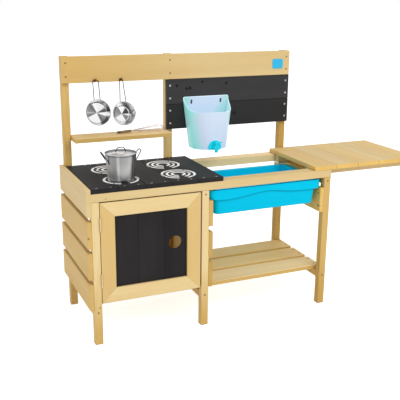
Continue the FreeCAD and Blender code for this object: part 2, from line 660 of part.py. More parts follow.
def pocket_wire(height, offset):
    """D-shaped level section of the dispenser's pocket at a height, drawn in by an offset."""
    share = (height - DISPENSER_LOW_HEIGHT) / DISPENSER_SPAN
    half = (DISPENSER_LOW_WIDTH + share * (DISPENSER_TOP_WIDTH - DISPENSER_LOW_WIDTH)) / 2 - offset
    depth = DISPENSER_LOW_DEPTH + share * (DISPENSER_TOP_DEPTH - DISPENSER_LOW_DEPTH) - offset
    corner = DISPENSER_LOW_CORNER + share * (DISPENSER_TOP_CORNER - DISPENSER_LOW_CORNER) - offset
    back = DISPENSER_BACK - (DISPENSER_PLATE if offset else 0)
    front = DISPENSER_BACK - depth
    left, right = DISPENSER_CENTRE - half, DISPENSER_CENTRE + half
    diagonal = corner * (1 - math.sqrt(0.5))
    points = [(left, back), (left, front + corner), (left + diagonal, front + diagonal),
              (left + corner, front), (right - corner, front), (right - diagonal, front + diagonal),
              (right, front + corner), (right, back)]
    spots = [FreeCAD.Vector(x, y, height) for x, y in points]
    edges = [Part.LineSegment(spots[0], spots[1]).toShape(), Part.Arc(*spots[1:4]).toShape(),
             Part.LineSegment(spots[3], spots[4]).toShape(), Part.Arc(*spots[4:7]).toShape(),
             Part.LineSegment(spots[6], spots[7]).toShape(), Part.LineSegment(spots[7], spots[0]).toShape()]
    return Part.Wire(edges)


def back_plate():
    """Tapered plate behind the pocket, with rounded upper corners."""
    top_half, low_half = DISPENSER_TOP_WIDTH / 2, DISPENSER_LOW_WIDTH / 2
    corners = [(-low_half, DISPENSER_LOW_HEIGHT), (-top_half, DISPENSER_TOP_HEIGHT),
               (top_half, DISPENSER_TOP_HEIGHT), (low_half, DISPENSER_LOW_HEIGHT)]
    points = [FreeCAD.Vector(DISPENSER_CENTRE + x, DISPENSER_BACK - DISPENSER_PLATE, z) for x, z in corners]
    outline = rounded_path(points, DISPENSER_PLATE_CORNER)
    base = Part.LineSegment(points[-1], points[0]).toShape()
    return prism(Part.Wire(outline.Edges + [base]), Y_AXIS * DISPENSER_PLATE)


def above_rim():
    """Space above the pocket's rim, which falls from the plate to the front in one curve."""
    front = DISPENSER_BACK - DISPENSER_TOP_DEPTH - OVERRUN
    back = DISPENSER_BACK - DISPENSER_PLATE
    knee = DISPENSER_BACK - DISPENSER_RIM_KNEE_DEPTH
    left = DISPENSER_CENTRE - DISPENSER_TOP_WIDTH / 2 - OVERRUN
    high = DISPENSER_TOP_HEIGHT + OVERRUN
    ring = [(front, DISPENSER_RIM_FRONT_HEIGHT), (knee, DISPENSER_RIM_KNEE_HEIGHT),
            (back, DISPENSER_RIM_BACK_HEIGHT), (back, high), (front, high)]
    points = [FreeCAD.Vector(left, y, z) for y, z in ring]
    rim = Part.Arc(*points[:3]).toShape()
    outside = points[2:] + points[:1]
    lines = [Part.LineSegment(first, last).toShape() for first, last in zip(outside, outside[1:])]
    return prism(Part.Wire([rim] + lines), X_AXIS * (DISPENSER_TOP_WIDTH + 2 * OVERRUN))


def keyhole(x):
    """Round hole and slot through the plate for a hanging screw."""
    front = DISPENSER_BACK - DISPENSER_PLATE - OVERRUN
    depth = DISPENSER_PLATE + 2 * OVERRUN
    slot_height = HANGER_HEIGHT - (KEYHOLE_SLOT_RADIUS - HANGER_RADIUS) + HANGER_SEAT_GAP
    slot_top = FreeCAD.Vector(x, front, slot_height)
    hole_centre = slot_top - Z_AXIS * KEYHOLE_RISE
    slot_span = (x - KEYHOLE_SLOT_RADIUS, x + KEYHOLE_SLOT_RADIUS)
    slot = block(slot_span, (front, front + depth), (hole_centre.z, slot_top.z))
    head = cylinder(KEYHOLE_RADIUS, depth, hole_centre, Y_AXIS)
    return head.fuse(slot).fuse(cylinder(KEYHOLE_SLOT_RADIUS, depth, slot_top, Y_AXIS))


def dispenser():
    """Open pocket with a back plate that hangs on two screws."""
    low = DISPENSER_LOW_HEIGHT
    outer = loft(pocket_wire(low, 0), pocket_wire(DISPENSER_TOP_HEIGHT, 0))
    inner = loft(pocket_wire(low + DISPENSER_WALL, DISPENSER_WALL),
                 pocket_wire(DISPENSER_TOP_HEIGHT + OVERRUN, DISPENSER_WALL))
    pocket = outer.cut(above_rim()).cut(inner)
    shell = pocket.common(dispenser_envelope()).fuse(back_plate())
    for side in (-0.5, 0.5):
        shell = shell.cut(keyhole(DISPENSER_CENTRE + side * KEYHOLE_SPACING))
    save("dispenser", single(shell.cut(tap_stub())))


def dispenser_envelope():
    """Space in front of the plate's back face and below the pocket's rim at the plate."""
    half = DISPENSER_TOP_WIDTH / 2 + OVERRUN
    front = DISPENSER_BACK - DISPENSER_TOP_DEPTH - OVERRUN
    return block((DISPENSER_CENTRE - half, DISPENSER_CENTRE + half),
                 (front, DISPENSER_BACK - DISPENSER_PLATE),
                 (DISPENSER_LOW_HEIGHT - OVERRUN, DISPENSER_RIM_BACK_HEIGHT))


def hanging_screws():
    """Two screws in the black board, their heads in front of the dispenser's plate."""
    screws = []
    head_back = DISPENSER_BACK - DISPENSER_PLATE - HANGER_HEAD_GAP
    for side in (-0.5, 0.5):
        x = DISPENSER_CENTRE + side * KEYHOLE_SPACING
        shank_start = FreeCAD.Vector(x, head_back, HANGER_HEIGHT)
        shank = cylinder(HANGER_RADIUS, DISPENSER_BACK - head_back, shank_start, Y_AXIS)
        head_start = shank_start - Y_AXIS * HANGER_HEAD_THICK
        head = cylinder(HANGER_HEAD_RADIUS, HANGER_HEAD_THICK, head_start, Y_AXIS)
        screws.append(single(shank.fuse(head)))
    save("hanging_screws", *screws)


def tap_front():
    """Point on the pocket's front face where the tap's axis comes through."""
    height = DISPENSER_LOW_HEIGHT + TAP_AXIS_RISE
    share = TAP_AXIS_RISE / DISPENSER_SPAN
    depth = DISPENSER_LOW_DEPTH + share * (DISPENSER_TOP_DEPTH - DISPENSER_LOW_DEPTH)
    return FreeCAD.Vector(DISPENSER_CENTRE, DISPENSER_BACK - depth, height)


def tap_stub():
    """Hole in the pocket's front wall for the tap's tail."""
    start = tap_front() - Y_AXIS * OVERRUN
    return cylinder(TAP_SPOUT_RADIUS, DISPENSER_WALL + 2 * OVERRUN, start, Y_AXIS)


def tap():
    """Tap body with a flange cut off at the pocket's base, and the lever on top."""
    face = tap_front()
    flange_start = face - Y_AXIS * TAP_FLANGE_THICK
    flange = cylinder(TAP_FLANGE_RADIUS, TAP_FLANGE_THICK + TAP_SINK, flange_start, Y_AXIS)
    below = block((face.x - TAP_FLANGE_RADIUS, face.x + TAP_FLANGE_RADIUS),
                  (face.y - TAP_FLANGE_THICK, face.y + TAP_FLANGE_THICK),
                  (DISPENSER_LOW_HEIGHT - TAP_FLANGE_RADIUS, DISPENSER_LOW_HEIGHT))
    pocket = loft(pocket_wire(DISPENSER_LOW_HEIGHT, 0), pocket_wire(DISPENSER_TOP_HEIGHT, 0))
    flange = flange.cut(below).cut(pocket)
    tail_length = TAP_FLANGE_THICK + DISPENSER_WALL + TAP_SINK
    tail = cylinder(TAP_SPOUT_RADIUS, tail_length, flange_start, Y_AXIS)
    reach = TAP_FLANGE_THICK + TAP_BARREL_LENGTH
    barrel = cylinder(TAP_BARREL_RADIUS, TAP_BARREL_LENGTH, face - Y_AXIS * reach, Y_AXIS)
    spout_top = face - Y_AXIS * (reach - TAP_SPOUT_INSET)
    spout = cylinder(TAP_SPOUT_RADIUS, TAP_SPOUT_DROP, spout_top, -Z_AXIS)
    seat = cylinder(TAP_LEVER_RADIUS, TAP_BARREL_RADIUS + TAP_STEM_DEPTH, spout_top, Z_AXIS)
    mouth = cylinder(TAP_SPOUT_BORE, TAP_SPOUT_RECESS, spout_top - Z_AXIS * TAP_SPOUT_DROP, Z_AXIS)
    stem_top = spout_top + Z_AXIS * (TAP_BARREL_RADIUS + TAP_STEM_DEPTH)
    socket = cylinder(TAP_STEM_RADIUS + TAP_STEM_FIT, TAP_STEM_DEPTH + TAP_LEVER_GAP, stem_top, -Z_AXIS)
    body = barrel.fuse([flange, tail, spout, seat]).cut(mouth).cut(socket)
    save("tap_body", single(body))
    lever_low = stem_top + Z_AXIS * TAP_LEVER_GAP
    hub = cylinder(TAP_LEVER_RADIUS, TAP_LEVER_HEIGHT, lever_low, Z_AXIS)
    wing = block((lever_low.x, lever_low.x + TAP_LEVER_REACH),
                 (lever_low.y - TAP_LEVER_WIDTH / 2, lever_low.y + TAP_LEVER_WIDTH / 2),
                 (lever_low.z + TAP_LEVER_HEIGHT / 3, lever_low.z + TAP_LEVER_HEIGHT))
    stem = cylinder(TAP_STEM_RADIUS, TAP_STEM_DEPTH, lever_low, -Z_AXIS)
    save("tap_lever", single(hub.fuse([wing, stem])))


def hooks():
    """Two screw hooks in the top board, on which the pans hang."""
    shank_height = HOOK_HEIGHT - HANDLE_WIRE_RADIUS - WIRE_GAP - HOOK_RADIUS
    tip_y = BACKBOARD_FRONT - HOOK_REACH
    solids = []
    for x in HOOK_PLACES:
        route = [FreeCAD.Vector(x, BACKBOARD_FRONT, shank_height), FreeCAD.Vector(x, tip_y, shank_height),
                 FreeCAD.Vector(x, tip_y, shank_height + HOOK_TIP)]
        collar_start = FreeCAD.Vector(x, BACKBOARD_FRONT - HOOK_COLLAR_THICK, shank_height)
        collar = cylinder(HOOK_COLLAR_RADIUS, HOOK_COLLAR_THICK, collar_start, Y_AXIS)
        solids.append(single(bent_wire(route, HOOK_BEND, HOOK_RADIUS).fuse(collar)))
    save("pan_hooks", *solids)


def hung(solid, hook_x):
    """Move a piece made about the hanging point to its hook, tilted as the pan hangs."""
    placed = solid.copy()
    placed.rotate(FreeCAD.Vector(0, 0, 0), X_AXIS, -PAN_TILT)
    placed.translate(FreeCAD.Vector(hook_x, HOOK_Y, HOOK_HEIGHT))
    return placed


def pan(name, hook_x, sizes, handle, lip=None):
    """Pan that faces the front, and its wire handle, which hangs on the hook."""
    base_radius, rim_radius, depth, hang = sizes
    top_width, foot_width, bend = handle
    body = vessel(base_radius, rim_radius, depth, PAN_CORNER, lip)
    outside = Part.makeCone(base_radius, rim_radius, depth)
    foot = -hang + math.sqrt(rim_radius ** 2 - (foot_width / 2) ** 2) - PAN_CORNER
    for solid in (body, outside):
        solid.rotate(FreeCAD.Vector(0, 0, 0), X_AXIS, 90)
        solid.translate(FreeCAD.Vector(0, depth - PAN_HANDLE_SETBACK, -hang))
    route = [FreeCAD.Vector(-foot_width / 2, 0, foot), FreeCAD.Vector(-top_width / 2, 0, 0),
             FreeCAD.Vector(top_width / 2, 0, 0), FreeCAD.Vector(foot_width / 2, 0, foot)]
    wire = bent_wire(route, bend, HANDLE_WIRE_RADIUS).cut(outside)
    save(name, hung(body, hook_x))
    save(name + "_handle", hung(single(wire), hook_x))


def pans():
    """Large pan, and the small one with a pouring lip."""
    pan("large_pan", HOOK_PLACES[0],
        (LARGE_PAN_BASE_RADIUS, LARGE_PAN_RIM_RADIUS, LARGE_PAN_DEPTH, LARGE_PAN_HANG),
        (LARGE_HANDLE_TOP, LARGE_HANDLE_FOOT, LARGE_HANDLE_BEND))
    pan("small_pan", HOOK_PLACES[1],
        (SMALL_PAN_BASE_RADIUS, SMALL_PAN_RIM_RADIUS, SMALL_PAN_DEPTH, SMALL_PAN_HANG),
        (SMALL_HANDLE_TOP, SMALL_HANDLE_FOOT, SMALL_HANDLE_BEND),
        (PAN_LIP_RADIUS, PAN_LIP_REACH, PAN_LIP_DEPTH))


def pot_radius(height):
    """Outer radius of the pot at a height above its base."""
    return POT_BASE_RADIUS + (POT_RIM_RADIUS - POT_BASE_RADIUS) * height / POT_HEIGHT


def pot():
    """Pot with two wire handles."""
    centre = FreeCAD.Vector(POT_CENTRE_X, POT_CENTRE_Y, TOP_SURFACE)
    body = vessel(POT_BASE_RADIUS, POT_RIM_RADIUS, POT_HEIGHT, POT_CORNER)
    outside = Part.makeCone(POT_BASE_RADIUS, POT_RIM_RADIUS, POT_HEIGHT)
    foot_x = pot_radius(POT_HANDLE_HEIGHT) - POT_HANDLE_RADIUS - OVERRUN
    tip_x = pot_radius(POT_HANDLE_HEIGHT) + POT_HANDLE_OUT + POT_HANDLE_RADIUS
    handles = []
    for side in (-1, 1):
        route = [FreeCAD.Vector(side * foot_x, -POT_HANDLE_FOOT / 2, POT_HANDLE_HEIGHT - OVERRUN),
                 FreeCAD.Vector(side * tip_x, -POT_HANDLE_TOP / 2, POT_HANDLE_HEIGHT + POT_HANDLE_RISE),
                 FreeCAD.Vector(side * tip_x, POT_HANDLE_TOP / 2, POT_HANDLE_HEIGHT + POT_HANDLE_RISE),
                 FreeCAD.Vector(side * foot_x, POT_HANDLE_FOOT / 2, POT_HANDLE_HEIGHT - OVERRUN)]
        handle = single(bent_wire(route, POT_HANDLE_BEND, POT_HANDLE_RADIUS).cut(outside))
        handle.translate(centre)
        handles.append(handle)
    body.translate(centre)
    save("pot", body)
    save("pot_handles", *handles)


def pot_lid():
    """Domed lid that sits inside the pot's rim, and its wire loop."""
    seat_height = POT_HEIGHT - LID_DROP
    radius = pot_radius(seat_height) - PAN_WALL - LID_FIT
    flat = radius - LID_LIP
    dome = Part.makeCone(flat, LID_LOOP_FOOT / 2 + LID_LIP, LID_DOME)
    hollow = Part.makeCone(flat - PAN_WALL, LID_LOOP_FOOT / 2 + LID_LIP - PAN_WALL, LID_DOME - PAN_WALL)
    lid = single(Part.makeCylinder(radius, PAN_WALL).fuse(dome).cut(hollow))
    loop_top = LID_DOME + LID_LOOP_HEIGHT
    places = [(-LID_LOOP_FOOT / 2, LID_DOME), (-LID_LOOP_TOP / 2, loop_top), (LID_LOOP_TOP / 2, loop_top),
              (LID_LOOP_FOOT / 2, LID_DOME)]
    route = [FreeCAD.Vector(x, 0, z) for x, z in places]
    loop = bent_wire(route, LID_LOOP_BEND, LID_LOOP_RADIUS).cut(Part.makeCylinder(radius, LID_DOME))
    place = FreeCAD.Vector(POT_CENTRE_X, POT_CENTRE_Y, TOP_SURFACE + seat_height)
    loop = single(loop)
    for solid in (lid, loop):
        solid.translate(place)
    save("pot_lid", lid, loop)


def laid(solid):
    """Move a piece of the whisk, made along X, to its place on the small shelf."""
    end_axis = SMALL_SHELF_TOP + WHISK_GAP + WHISK_END_RADIUS
    rise = WHISK_BALLOON_RADIUS + WHISK_WIRE_RADIUS - WHISK_END_RADIUS
    tilt = math.degrees(math.asin(rise / (WHISK_LENGTH - WHISK_BALLOON_BEND)))
    placed = solid.copy()
    placed.rotate(FreeCAD.Vector(0, 0, 0), Y_AXIS, -tilt)
    placed.rotate(FreeCAD.Vector(0, 0, 0), Z_AXIS, -WHISK_SLANT)
    placed.translate(FreeCAD.Vector(WHISK_HANDLE_X, WHISK_HANDLE_Y, end_axis))
    return placed


def whisk():
    """Whisk: turned wooden handle, steel collar and wire loops."""
    handle_end = FreeCAD.Vector(0, 0, 0)
    taper = Part.makeCone(WHISK_END_RADIUS, WHISK_HANDLE_RADIUS, WHISK_HANDLE_LENGTH, handle_end, X_AXIS)
    collar = cylinder(WHISK_COLLAR_RADIUS, WHISK_COLLAR_LENGTH, X_AXIS * WHISK_HANDLE_LENGTH, X_AXIS)
    start = WHISK_HANDLE_LENGTH + WHISK_COLLAR_LENGTH
    places = [(start, -WHISK_NECK_RADIUS), (WHISK_LENGTH, -WHISK_BALLOON_RADIUS),
              (WHISK_LENGTH, WHISK_BALLOON_RADIUS), (start, WHISK_NECK_RADIUS)]
    route = [FreeCAD.Vector(x, 0, z) for x, z in places]
    loops = []
    for index in range(WHISK_LOOPS):
        loop = bent_wire(route, WHISK_BALLOON_BEND, WHISK_WIRE_RADIUS)
        loop.rotate(FreeCAD.Vector(0, 0, 0), X_AXIS, index * 180 / WHISK_LOOPS)
        loops.append(loop)
    save("whisk_handle", laid(taper))
    save("whisk_wires", laid(collar), laid(single(loops[0].fuse(loops[1:]))))


def main():
    """Write every node."""
    os.makedirs("parts", exist_ok=True)
    frames()
    rails()
    slats()
    floor()
    backboards()
    hob()
    worktop()
    door_frame()
    door_panel()
    hinges()
    door_catch()
    tray()
    dispenser()
    hanging_screws()
    tap()
    hooks()
    pans()
    pot()
    pot_lid()
    whisk()


if __name__ == "__main__":
    main()
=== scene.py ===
"""Dressed mud kitchen: planed pine, black stained boards, moulded plastic and spun steel pans.

Everything is in metres in the row frame, whose origin is the middle of the front left foot.
"""

import bmesh
import bpy
import logging
import math
from dataclasses import dataclass
from enum import Enum
from functools import cache
from typing import Any, ClassVar

import numpy as np
from mathutils import Matrix, Vector

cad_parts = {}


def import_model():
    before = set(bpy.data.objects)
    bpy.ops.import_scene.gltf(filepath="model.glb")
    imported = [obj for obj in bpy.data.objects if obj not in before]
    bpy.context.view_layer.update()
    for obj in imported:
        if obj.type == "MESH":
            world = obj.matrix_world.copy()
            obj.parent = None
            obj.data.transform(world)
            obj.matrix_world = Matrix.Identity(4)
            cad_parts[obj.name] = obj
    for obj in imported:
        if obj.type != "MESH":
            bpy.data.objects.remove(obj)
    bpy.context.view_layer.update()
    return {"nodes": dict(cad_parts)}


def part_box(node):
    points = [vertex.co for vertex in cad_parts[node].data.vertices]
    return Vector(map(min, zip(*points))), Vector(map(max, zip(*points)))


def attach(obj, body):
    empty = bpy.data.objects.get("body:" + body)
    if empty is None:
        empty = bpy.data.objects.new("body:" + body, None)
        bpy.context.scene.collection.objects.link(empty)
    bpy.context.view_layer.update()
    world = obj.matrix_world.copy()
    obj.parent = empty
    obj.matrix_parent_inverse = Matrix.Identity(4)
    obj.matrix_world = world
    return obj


LOG = logging.getLogger("mud_kitchen")
MM = 0.001
SMOOTH_ANGLE = math.radians(40)
SIDES = ("left", "middle", "right")
# Screws stand in pairs, this far to either side of a board's middle line.
PAIR = (-25 * MM, 25 * MM)

MATH = "ShaderNodeMath"
VECTOR = "ShaderNodeVectorMath"
MIX = "ShaderNodeMix"
RANGE = "ShaderNodeMapRange"
RAMP = "ShaderNodeValToRGB"
NOISE = "ShaderNodeTexNoise"
BUMP = "ShaderNodeBump"
COORDINATES = "ShaderNodeTexCoord"
APART = "ShaderNodeSeparateXYZ"
TOGETHER = "ShaderNodeCombineXYZ"
OPENNESS = "ShaderNodeAmbientOcclusion"

Tree = bpy.types.NodeTree
Nodes = dict[str, bpy.types.Object]
Surface = tuple[np.ndarray, np.ndarray]
Triple = tuple[float, float, float]
Spot = tuple[Triple, Triple]
Stops = tuple[tuple[float, Any], ...]
# Knots have x, y, z and a radius, all in millimetres.
Knots = tuple[tuple[float, float, float, float], ...]


def linear(colour: str) -> tuple[float, float, float, float]:
    """Turn an sRGB hex colour into linear red, green, blue and a full alpha.

    Args:
        colour: Colour as # and six hex digits.

    Returns:
        The three linear parts and 1.
    """
    parts = [int(colour[i:i + 2], 16) / 255 for i in (1, 3, 5)]
    mixed = [c / 12.92 if c <= 0.04045 else ((c + 0.055) / 1.055) ** 2.4 for c in parts]
    return (*mixed, 1.0)


def add_node(tree: Tree, kind: str, *values: Any, out: int | str | None = 0, ramp: Stops = (),
             **settings: Any) -> Any:
    """Add one node with its settings, values, links and ramp stops.

    Args:
        tree: Node tree that gets the node.
        kind: Blender's name of the node type.
        values: Value, hex colour or other node's output for each socket in turn. A dictionary gives
            them by the sockets' names or numbers.
        out: Output to return, or None for all of them.
        ramp: Colour ramp stops as position and hex colour or grey value.
        settings: Attributes of the node.

    Returns:
        The chosen output socket, or all outputs.
    """
    node = tree.nodes.new(kind)
    for name, value in settings.items():
        setattr(node, name, value)
    for place, (position, tone) in enumerate(ramp):
        stops = node.color_ramp.elements
        stop = stops[place] if place < len(stops) else stops.new(position)
        stop.position = position
        stop.color = linear(tone) if isinstance(tone, str) else (tone, tone, tone, 1.0)
    sockets: dict[int | str, Any] = {}
    for place, value in enumerate(values):
        sockets |= value if isinstance(value, dict) else {place: value}
    for name, value in sockets.items():
        if isinstance(value, bpy.types.NodeSocket):
            tree.links.new(value, node.inputs[name])
        else:
            node.inputs[name].default_value = linear(value) if isinstance(value, str) else value
    return node.outputs if out is None else node.outputs[out]


def empty_tree(owner: Any) -> Tree:
    """Give a material or a world a node tree without nodes.

    Args:
        owner: Material or world.

    Returns:
        Its node tree.
    """
    owner.use_nodes = True
    owner.node_tree.nodes.clear()
    return owner.node_tree


def add_object(name: str, data: Any) -> bpy.types.Object:
    """Make an object at the origin and link it to the scene.

    Args:
        name: Name of the object.
        data: Its mesh, lamp or camera data.

    Returns:
        The object.
    """
    made = bpy.data.objects.new(name, data)
    bpy.context.scene.collection.objects.link(made)
    return made


def grid_faces(rows: int, columns: int, wrap_rows: bool = False, copies: int = 1) -> np.ndarray:
    """Number the four-sided faces of a grid of points whose last column joins the first.

    Args:
        rows: Points along the first direction.
        columns: Points along the second direction.
        wrap_rows: True where the last row joins the first too.
        copies: Number of such grids, one after another.

    Returns:
        One row of four vertex numbers for each face: each face joins a point with its neighbours
        in the next column and the next row.
    """
    i = np.arange(rows if wrap_rows else rows - 1)[:, None]
    j = np.arange(columns)[None, :]
    ahead, beside = (i + 1) % rows, (j + 1) % columns
    corners = (i * columns + j, i * columns + beside, ahead * columns + beside, ahead * columns + j)
    faces = np.stack(np.broadcast_arrays(*corners), axis=-1).reshape(-1, 4)
    return (faces + np.arange(copies)[:, None, None] * rows * columns).reshape(-1, 4)


class Run(Enum):
    """How a board lies: the axes of its length, its width and its thickness."""

    LEVEL_ACROSS = (0, 1, 2)
    UPRIGHT_ACROSS = (0, 2, 1)
    LEVEL_DEEP = (1, 0, 2)
    UPRIGHT_DEEP = (1, 2, 0)
    STANDING = (2, 0, 1)


class Tone(Enum):
    """Early and late wood, from the palest timber to the most golden, and under four black stains."""

    ROSY = ("#FFE2AC", "#F4CF95")
    WARM = ("#F6D593", "#E6BF7A")
    FLAX = ("#F2C870", "#DDB055")
    PALE = ("#F3DCA6", "#E4C587")
    HONEY = ("#E7CE98", "#D4B67A")
    STRAW = ("#E8C987", "#D6B26C")
    GOLDEN = ("#DDB96E", "#C8A256")
    AMBER = ("#CFA955", "#BA9042")
    INK = ("#2B292A", "#1F1D1E")
    COAL = ("#242223", "#191718")
    SOOT = ("#333233", "#272627")
    SLATE = ("#403F40", "#323132")


class Finish:
    """A surface finish that can be made into a material."""

    name: str

    def paint(self, tree: Tree) -> dict[str, Any]:
        """Build the pattern nodes and return the values and links of the surface shader."""
        raise NotImplementedError

    @staticmethod
    def figure(tree: Tree, place: Any, along: float, across: float, detail: float, out: int | str = 0) -> Any:
        """Noise with so many patches to a metre along the place's first axis and across it."""
        stretched = add_node(tree, VECTOR, place, (along, across, across), operation="MULTIPLY")
        return add_node(tree, NOISE, {"Vector": stretched, "Scale": 1.0, "Detail": detail}, out=out)

    @cache
    def material(self) -> bpy.types.Material:
        """Make the material from the finish's own pattern and a Principled shader, only once.

        Returns:
            The material.
        """
        made = bpy.data.materials.new(self.name)
        tree = empty_tree(made)
        shader = add_node(tree, "ShaderNodeBsdfPrincipled", self.paint(tree))
        add_node(tree, "ShaderNodeOutputMaterial", {"Surface": shader}, out=None)
        return made


@dataclass(frozen=True)
class BurnerPrint:
    """Screen-printed rings of four burners, white ink on the stained boards."""

    first: tuple[float, float] = (123 * MM, 83 * MM)
    step: tuple[float, float] = (217 * MM, 157 * MM)
    inner: float = 18.5 * MM
    pitch: float = 18.5 * MM
    band: float = 9.0 * MM
    outer: float = 64.5 * MM
    gap_middle: float = math.radians(-91.5)
    gap_half: float = math.radians(15.5)
    top_face: float = 572.4 * MM
    front_end: float = 4.5 * MM
    back_end: float = 318.5 * MM
    tone: str = "#FFFFFE"

    def mask(self, tree: Tree, place: Any) -> Any:
        """Ink of the rings: 1 where the distance from the nearest burner lies in a band outside the gap.

        The ink is on the top face only, between the front end and the back end of the print.

        Args:
            tree: Node tree of the board.
            place: Separated coordinates, as x, y and z outputs.

        Returns:
            Socket that is 1 on the ink and 0 off it.
        """
        offsets = []
        for axis, (first, step) in enumerate(zip(self.first, self.step)):
            moved = add_node(tree, MATH, place[axis], first - step / 2, operation="SUBTRACT")
            within = add_node(tree, MATH, moved, step, operation="FLOORED_MODULO")
            offsets.append(add_node(tree, MATH, within, step / 2, operation="SUBTRACT"))
        flat = add_node(tree, TOGETHER, *offsets)
        radius = add_node(tree, VECTOR, flat, out="Value", operation="LENGTH")
        past = add_node(tree, MATH, radius, self.inner, operation="SUBTRACT")
        share = add_node(tree, MATH, past, self.pitch, operation="FLOORED_MODULO")
        angle = add_node(tree, MATH, offsets[1], offsets[0], operation="ARCTAN2")
        turned = add_node(tree, MATH, angle, self.gap_middle, operation="SUBTRACT")
        from_gap = add_node(tree, MATH, turned, operation="ABSOLUTE")
        ink: Any = 1.0
        for value, operation, limit in (
                (share, "LESS_THAN", self.band), (radius, "GREATER_THAN", self.inner),
                (radius, "LESS_THAN", self.outer), (from_gap, "GREATER_THAN", self.gap_half),
                (place[2], "GREATER_THAN", self.top_face), (place[1], "GREATER_THAN", self.front_end),
                (place[1], "LESS_THAN", self.back_end)):
            test = add_node(tree, MATH, value, limit, operation=operation)
            ink = add_node(tree, MATH, ink, test, operation="MULTIPLY")
        return ink


@dataclass(frozen=True)
class MitreJoint:
    """Fine dark joint line between the members of the door's frame."""

    across: tuple[float, float] = (16 * MM, 389 * MM)
    upright: tuple[float, float] = (156 * MM, 523 * MM)
    half_width: float = 0.6 * MM
    depth: float = 0.4
    tone: str = "#6E5128"

    def mask(self, tree: Tree, place: Any) -> Any:
        """Joint line, where the ways to the door's nearest upright and nearest level edge are equal.

        Args:
            tree: Node tree of the member.
            place: Separated coordinates, as x, y and z outputs.

        Returns:
            Socket that is the depth of the line on the joint and 0 off it.
        """
        ways = []
        for axis, (start, end) in ((0, self.across), (2, self.upright)):
            moved = add_node(tree, MATH, place[axis], (start + end) / 2, operation="SUBTRACT")
            from_middle = add_node(tree, MATH, moved, operation="ABSOLUTE")
            ways.append(add_node(tree, MATH, (end - start) / 2, from_middle, operation="SUBTRACT"))
        apart = add_node(tree, MATH, *ways, operation="SUBTRACT")
        distance = add_node(tree, MATH, apart, operation="ABSOLUTE")
        line = add_node(tree, RANGE, distance, self.half_width / 2, self.half_width * 1.5, 1.0, 0.0)
        return add_node(tree, MATH, line, self.depth, operation="MULTIPLY")


